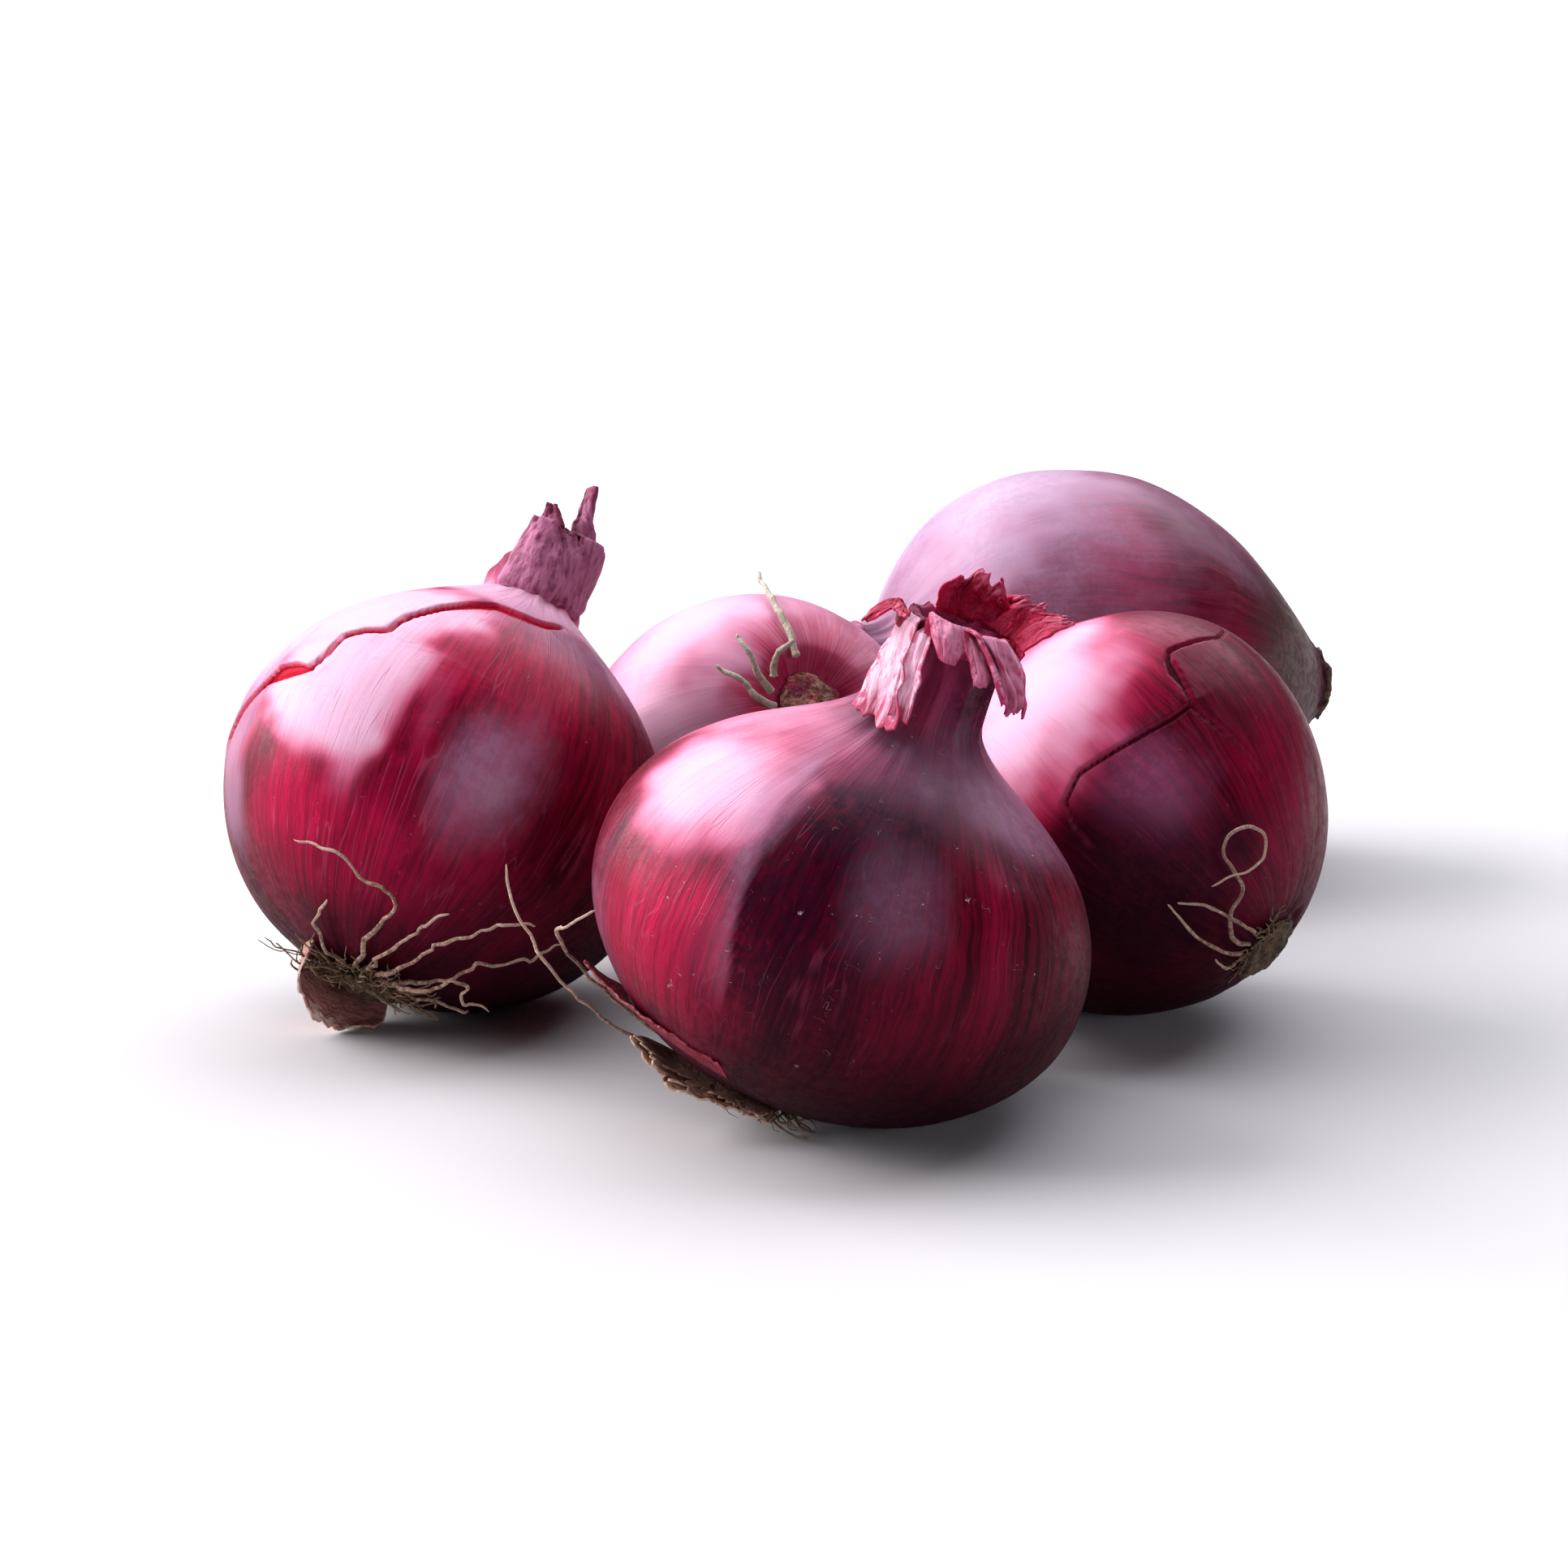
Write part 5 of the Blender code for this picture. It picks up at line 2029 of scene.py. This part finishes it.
LEAVES = (
    NeckLeaf(
        "front_neck_leaf_left",
        FRONT,
        PALE_LEAF,
        (
            Lobe(
                (
                    (-152, 12.4, 0.6, 2.6), (-149, 7.0, 0.8, 2.9), (-140, 1.9, 1.6, 3.6),
                    (-128, -4.8, 2.2, 4.4),
                ),
                1.8, 0.7, 0.4, 1.6, 0.2, seed=1.0,
            ),
            Lobe(
                (
                    (-126, 11.4, 0.4, 1.2), (-124, 7.0, 0.7, 1.6), (-119, 3.0, 1.2, 1.8),
                    (-113, -2.6, 2.0, 1.6),
                ),
                1.2, 0.6, 0.3, 2.0, 0.3, seed=1.4,
            ),
        ),
    ),
    NeckLeaf(
        "front_neck_leaf_edge",
        FRONT,
        RED_LEAF,
        (
            Lobe(
                (
                    (170, 7.5, 0.3, 3.2), (173, 11.0, 0.6, 3.8), (-178, 12.2, 2.6, 3.6),
                    (-170, 10.6, 4.8, 2.8), (-164, 8.6, 6.2, 1.2),
                ),
                0.8, -0.6, 0.4, 2.0, 0.35, seed=2.0,
            ),
            Lobe(
                (
                    (-176, 9.0, 0.4, 3.0), (-170, 12.4, 1.0, 3.6), (-158, 13.0, 2.2, 3.2),
                    (-146, 12.0, 3.0, 1.6),
                ),
                0.8, 0.5, 0.3, 2.0, 0.4, seed=2.6,
            ),
        ),
    ),
    NeckLeaf(
        "front_neck_leaf_middle",
        FRONT,
        PINK_LEAF,
        (
            Lobe(
                (
                    (-112, 9.5, 0.3, 2.4), (-112, 12.8, 0.8, 3.2), (-107, 14.4, 2.6, 3.6),
                    (-101, 12.2, 4.4, 3.2), (-97, 8.6, 4.0, 1.4),
                ),
                0.4, -1.4, 0.3, 2.0, 0.4, seed=3.0,
            ),
        ),
    ),
    NeckLeaf(
        "front_neck_leaf_hanging",
        FRONT,
        PINK_LEAF,
        (
            Lobe(
                (
                    (-80, 9.5, 0.3, 2.6), (-80, 13.0, 0.9, 3.6), (-73, 14.6, 3.8, 3.8), (-62, 11.2, 6.2, 3.4),
                    (-50, 6.9, 7.2, 2.9), (-45, 2.6, 6.8, 2.0),
                ),
                5.0, -0.7, 0.8, 3.4, 0.6, seed=4.0,
            ),
            Lobe(
                (
                    (-92, 10.0, 0.4, 2.0), (-90, 13.4, 1.2, 2.4), (-82, 13.0, 3.8, 2.2), (-74, 9.6, 5.0, 1.4),
                    (-70, 7.0, 5.2, 0.7),
                ),
                1.5, -0.8, 0.5, 2.0, 0.6, seed=4.6,
            ),
        ),
    ),
    NeckLeaf(
        "front_neck_leaf_back",
        FRONT,
        RED_LEAF,
        (
            Lobe(
                ((82, 7.5, 0.3, 4.4), (82, 12.8, 0.5, 5.4), (80, 17.0, -0.6, 5.0), (74, 22.0, -2.8, 1.6)),
                4.0, 1.0, 0.7, 3.0, 1.0, seed=5.0,
            ),
            Lobe(
                ((52, 8.0, 0.3, 4.0), (50, 13.0, 0.9, 5.0), (45, 17.0, 1.8, 4.4), (38, 20.0, 3.6, 1.4)),
                3.0, 1.0, 0.7, 3.0, 0.9, seed=5.5,
            ),
        ),
    ),
    NeckLeaf(
        "front_neck_leaf_right",
        FRONT,
        RED_LEAF,
        (
            Lobe(
                ((14, 8.5, 0.3, 3.4), (14, 13.2, 0.9, 4.4), (12, 17.2, 2.6, 4.6), (9, 19.6, 6.2, 1.2)),
                2.0, 1.0, 0.6, 3.0, 0.8, seed=6.0,
            ),
        ),
    ),
    NeckLeaf(
        "left_neck_leaf_outer",
        LEFT,
        MAUVE_LEAF,
        (
            Lobe(
                ((176, -1.0, 0.0, 5.6), (178, 5.0, 0.4, 6.0), (181, 11.0, 0.1, 4.2), (184, 16.2, 1.6, 0.7)),
                0.3, -0.5, 1.3, 1.3, 0.6, 0.5, seed=7.0,
            ),
            Lobe(
                (
                    (-138, -1.0, 0.0, 5.4), (-140, 4.0, 0.5, 5.6), (-146, 9.0, 0.2, 4.6),
                    (-152, 13.4, -1.2, 2.4),
                ),
                0.3, -0.6, 1.4, 1.3, 0.6, 0.5, seed=7.6,
            ),
            Lobe(
                (
                    (-104, -1.0, 0.0, 4.4), (-106, 4.0, 0.4, 4.6), (-112, 9.0, 0.0, 3.8),
                    (-124, 12.4, -1.4, 2.0),
                ),
                0.3, -0.6, 1.3, 1.4, 0.6, 0.5, seed=7.9,
            ),
        ),
    ),
    NeckLeaf(
        "left_neck_leaf_tip",
        LEFT,
        MAUVE_LEAF,
        (
            Lobe(
                (
                    (-78, 1.0, 0.0, 5.8), (-80, 7.0, 0.4, 5.8), (-84, 13.6, 0.0, 4.0), (-98, 17.4, -1.6, 1.7),
                    (-114, 22.5, -2.6, 0.6),
                ),
                0.2, -0.5, 1.2, 1.4, 0.5, 0.5, seed=8.0,
            ),
        ),
    ),
    NeckLeaf(
        "right_neck_leaf",
        RIGHT,
        MAUVE_LEAF,
        (
            Lobe(
                ((40, -1.5, 0.3, 4.0), (40, 2.0, 0.3, 4.0), (40, 5.0, 0.4, 3.2), (42, 8.0, 1.6, 1.2)),
                1.5, 0.4, seed=9.0,
            ),
        ),
    ),
    NeckLeaf(
        "rear_neck_leaf",
        REAR,
        MAUVE_LEAF,
        (
            Lobe(
                ((160, -1.0, 0.3, 4.2), (160, 3.0, 0.3, 4.0), (160, 6.0, 0.2, 3.0), (162, 8.6, 0.8, 1.2)),
                1.0, -0.3, seed=10.0,
            ),
        ),
    ),
    NeckLeaf(
        "middle_neck_leaf",
        MIDDLE,
        MAUVE_LEAF,
        (
            Lobe(
                ((180, -1.0, 0.3, 4.0), (180, 2.5, 0.3, 4.0), (180, 5.5, 0.4, 3.2), (178, 8.0, 1.4, 1.2)),
                1.5, 0.4, seed=11.0,
            ),
        ),
    ),
)

ROOT_SKINS = (
    RootSkin(
        "front_root_skirt",
        FRONT,
        HUSK,
        ((-168, 13.0, 0.3), (-140, 12.0, 0.3), (-112, 11.0, 0.3), (-84, 10.5, 0.3)),
        ((-156, 27.0, 4.0), (-138, 23.5, 5.6), (-116, 20.5, 4.0), (-92, 17.5, 2.6)),
        strips=3,
    ),
    RootSkin(
        "front_skin_flap",
        FRONT,
        RED_FLAP,
        ((-178, 29.0, 0.3), (-160, 29.5, 0.3), (-136, 28.5, 0.3), (-112, 27.0, 0.3)),
        ((-172, 37.0, 4.0), (-156, 34.5, 2.2), (-134, 33.5, 1.2), (-114, 32.0, 0.6)),
        pleat=0.3,
    ),
    RootSkin(
        "left_skin_flap",
        LEFT,
        BROWN_FLAP,
        ((176, 14.0, 0.3), (140, 11.5, 0.3), (100, 11.0, 0.3), (60, 12.0, 0.3), (20, 12.0, 0.3)),
        ((182, 14.0, 5.0), (158, 9.0, 7.8), (112, 5.5, 9.6), (70, 3.6, 10.2), (30, 5.0, 9.6), (0, 8.0, 8.0)),
        ragged=0.14,
    ),
)

THICK_ROOT = 0.75  # the radius of the middle onion's roots
THIN_ROOT = 0.4  # the radius of the others
ROOT_KINKS = {"left": 0.9, "right": 0.2}  # how far an onion's roots wander
USUAL_KINK = 0.4
SUNK_PLATE = 2.5  # how far the middle onion's root plate is sunk

ROOT_KNOTS = {
    "front_root_long": (FRONT, ((-178, 10.8, 0.3), (-176, 20, 2.6), (-174, 36, 8), (178, 48, 13))),
    "front_root_bent": (
        FRONT, ((168, 10.8, 0.3), (172, 24, 2), (-174, 40, 5.4), (-160, 45, 5), (-154, 48.5, 2.2))
    ),
    "left_root_1": (
        LEFT, ((-150, 10.2, 0.3), (-137, 30, 2.4), (-148, 33, 3.4), (-157, 35.5, 3.4), (-170, 36, 4.4))
    ),
    "left_root_2": (LEFT, ((-141, 10.2, 0.3), (-130, 26, 4.4), (-124, 35, 6))),
    "left_root_3": (LEFT, ((-132, 10.2, 0.3), (-122, 28, 6.4), (-115, 36, 7.4), (-106, 40, 8.4))),
    "left_root_4": (
        LEFT, ((-123, 10.2, 0.3), (-112, 25, 7.4), (-106, 28, 8.4), (-104, 25, 7.8), (-90, 25, 6.4))
    ),
    "left_root_5": (LEFT, ((-114, 10.2, 0.3), (-106, 26, 3.4), (-97, 32, 4), (-91, 39, 4.4))),
    "left_root_6": (LEFT, ((-105, 10.2, 0.3), (-95, 18, 3.4), (-76, 19, 2.4))),
    "left_root_7": (LEFT, ((-160, 10.2, 0.3), (-166, 20, 2), (-160, 27, 3))),
    "right_root_1": (
        RIGHT,
        (
            (112, 9.4, 0.3), (111, 15, 1.4), (121, 19.5, 2), (132, 21.5, 2.2), (133, 24.5, 2.2),
            (134, 28.2, 2.4), (139, 30.2, 2.6), (146, 29.4, 2.8), (150, 26.4, 3), (145, 23.8, 3.2),
            (137, 24, 3.4), (130, 25.4, 3.2), (123, 26, 2.4),
        ),
    ),
    "right_root_2": (
        RIGHT, ((100, 9.4, 0.3), (102, 16, 2), (104, 22, 2.4), (107, 26, 2.6), (109, 29.5, 2.8))
    ),
    "right_root_3": (RIGHT, ((124, 9.4, 0.3), (120, 18, 1.8), (116, 24, 1.4), (111, 28, 1.6))),
    "right_root_4": (RIGHT, ((86, 9.4, 0.3), (92, 13, 2.4), (100, 18, 4.4))),
    "middle_root_1": (MIDDLE, ((104, 8.2, 0.3), (112, 10.5, 3), (124, 12.5, 4.6), (134, 15.5, 5.6))),
    "middle_root_2": (MIDDLE, ((84, 8.2, 0.3), (92, 11, 2.4), (106, 13, 3), (116, 17, 3.4))),
    "middle_root_3": (MIDDLE, ((126, 8.2, 0.3), (140, 9.5, 3), (160, 9, 5.4))),
    "middle_root_4": (MIDDLE, ((170, 8.2, 0.3), (176, 16, 1), (182, 26, 0.6), (184, 33, 3.4))),
}

TUFTS = (
    RootTuft("left_root_fibres", LEFT, BROWN_ROOT, 90, (-190, -90), (9, 20), 5.0, 3),
    RootTuft("right_root_fibres", RIGHT, BROWN_ROOT, 34, (60, 150), (7, 12.5), 2.2, 4),
    RootTuft("front_root_fibres", FRONT, BROWN_ROOT, 50, (-160, -60), (11, 21), 3.0, 5),
)


# ---------------------------------------------------------------- the studio


@dataclass(frozen=True)
class Softbox:
    """A large soft light that faces the bunch."""

    name: str
    direction: tuple[float, float, float]
    distance: float
    width: float
    height: float
    power: float
    colour: Colour

    def build(self, aim: Vector) -> bpy.types.Object:
        """Hang the light.

        Args:
            aim: the point that it faces.

        Returns:
            The light.
        """
        lamp = bpy.data.lights.new(self.name, "AREA")
        lamp.shape = "RECTANGLE"
        lamp.size, lamp.size_y = self.width, self.height
        lamp.energy = self.power
        lamp.color = self.colour
        light = bpy.data.objects.new(self.name, lamp)
        away = Vector(self.direction).normalized()
        light.location = aim + away * self.distance
        light.rotation_euler = away.to_track_quat("Z", "Y").to_euler()
        light.visible_camera = False
        bpy.context.scene.collection.objects.link(light)
        return light


@dataclass(frozen=True)
class Studio:
    """The floor, the lights and the camera."""

    floor_colour: Colour = (0.58, 0.575, 0.58)
    floor_shade: Colour = (0.55, 0.545, 0.555)
    floor_half_width: float = 6.0
    elevation: float = 13.62
    distance: float = 0.7481
    lens: float = 108.03
    aim_offset: tuple[float, float, float] = (-0.0089, 0.0139, 0.0092)
    softboxes: tuple[Softbox, ...] = (
        Softbox("window", (-0.84, 0.24, 0.50), 6.0, 6.0, 4.65, 855.0, (1.0, 0.96, 0.99)),
        Softbox("back_sky", (0.10, 0.56, 0.82), 3.6, 5.6, 4.4, 250.0, (0.94, 0.94, 1.0)),
        Softbox("front_fill", (0.52, -0.85, 0.22), 2.6, 1.0, 0.8, 16.0, (0.95, 0.90, 1.0)),
    )
    sky_colour: Colour = (0.90, 0.88, 0.95)
    sky_strength: float = 0.05  # what it lights
    sky_brightness: float = 1.0  # what is seen of it

    def build(self) -> None:
        """Set up the floor, the sky, the lights and the camera."""
        low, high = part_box("front_bulb")
        aim = (low + high) / 2 + Vector(self.aim_offset)
        self.add_floor()
        scene = bpy.context.scene
        world = bpy.data.worlds.new("soft_sky")
        world.use_nodes = True
        sky = world.node_tree.nodes["Background"]
        sky.inputs["Color"].default_value = (*self.sky_colour, 1.0)
        s = Sketch(world.node_tree)
        seen = s.node("ShaderNodeLightPath").outputs["Is Camera Ray"]
        s.feed(sky.inputs["Strength"], s.ramp(seen, 0.0, 1.0, self.sky_strength, self.sky_brightness))
        scene.world = world
        for softbox in self.softboxes:
            softbox.build(aim)
        tilt = math.radians(self.elevation)
        back = Vector((0.0, -math.cos(tilt), math.sin(tilt)))
        camera = bpy.data.objects.new("camera", bpy.data.cameras.new("camera"))
        camera.data.lens = self.lens
        camera.data.sensor_width = 36.0
        camera.location = aim + back * self.distance
        camera.rotation_euler = back.to_track_quat("Z", "Y").to_euler()
        scene.collection.objects.link(camera)
        scene.camera = camera
        scene.view_settings.view_transform = "Standard"

    def add_floor(self) -> None:
        """Lay the pale floor just under the onions."""
        half = self.floor_half_width
        mesh = bpy.data.meshes.new("pale_floor")
        mesh.from_pydata(
            [(-half, -half, 0), (half, -half, 0), (half, half, 0), (-half, half, 0)], [], [(0, 1, 2, 3)]
        )
        material, s, shader = start_material("floor_paper")
        tone = s.noise(s.node("ShaderNodeTexCoord").outputs["Object"], 3.0, 2.0)
        uneven = s.ramp(tone, 0.3, 0.7, 0.0, 0.3)
        s.feed(shader.inputs["Base Color"], s.mix(uneven, self.floor_colour, self.floor_shade))
        shader.inputs["Roughness"].default_value = 0.8
        shader.inputs["Specular IOR Level"].default_value = 0.2
        mesh.materials.append(material)
        floor = bpy.data.objects.new("pale_floor", mesh)
        floor.location.z = -0.1 * MM
        bpy.context.scene.collection.objects.link(floor)


def corners(box: tuple[Vector, Vector]) -> list[list[float]]:
    """Give the two corners of a box as plain lists."""
    return [list(corner) for corner in box]


def main() -> None:
    """Build the whole bunch and its studio."""
    logging.basicConfig(level=logging.INFO, format="%(name)s: %(message)s")
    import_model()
    for skin in SKINS:
        skin.build()
    for leaf in LEAVES:
        leaf.build()
    for root_skin in ROOT_SKINS:
        root_skin.build()
    for name, (form, knots) in ROOT_KNOTS.items():
        finish, radius = (GREEN_ROOT, THICK_ROOT) if form is MIDDLE else (STRAW_ROOT, THIN_ROOT)
        Root(name, form, finish, knots, radius, ROOT_KINKS.get(form.name, USUAL_KINK)).build()
    for tuft in TUFTS:
        tuft.build()
    for form in (FRONT, LEFT, RIGHT, REAR, MIDDLE):
        finish, sunk = (RED_CORK, SUNK_PLATE) if form is MIDDLE else (CORK, 0.0)
        RootPlate(form, finish, sunk).build()
    Studio().build()


if __name__ == "__main__":
    main()
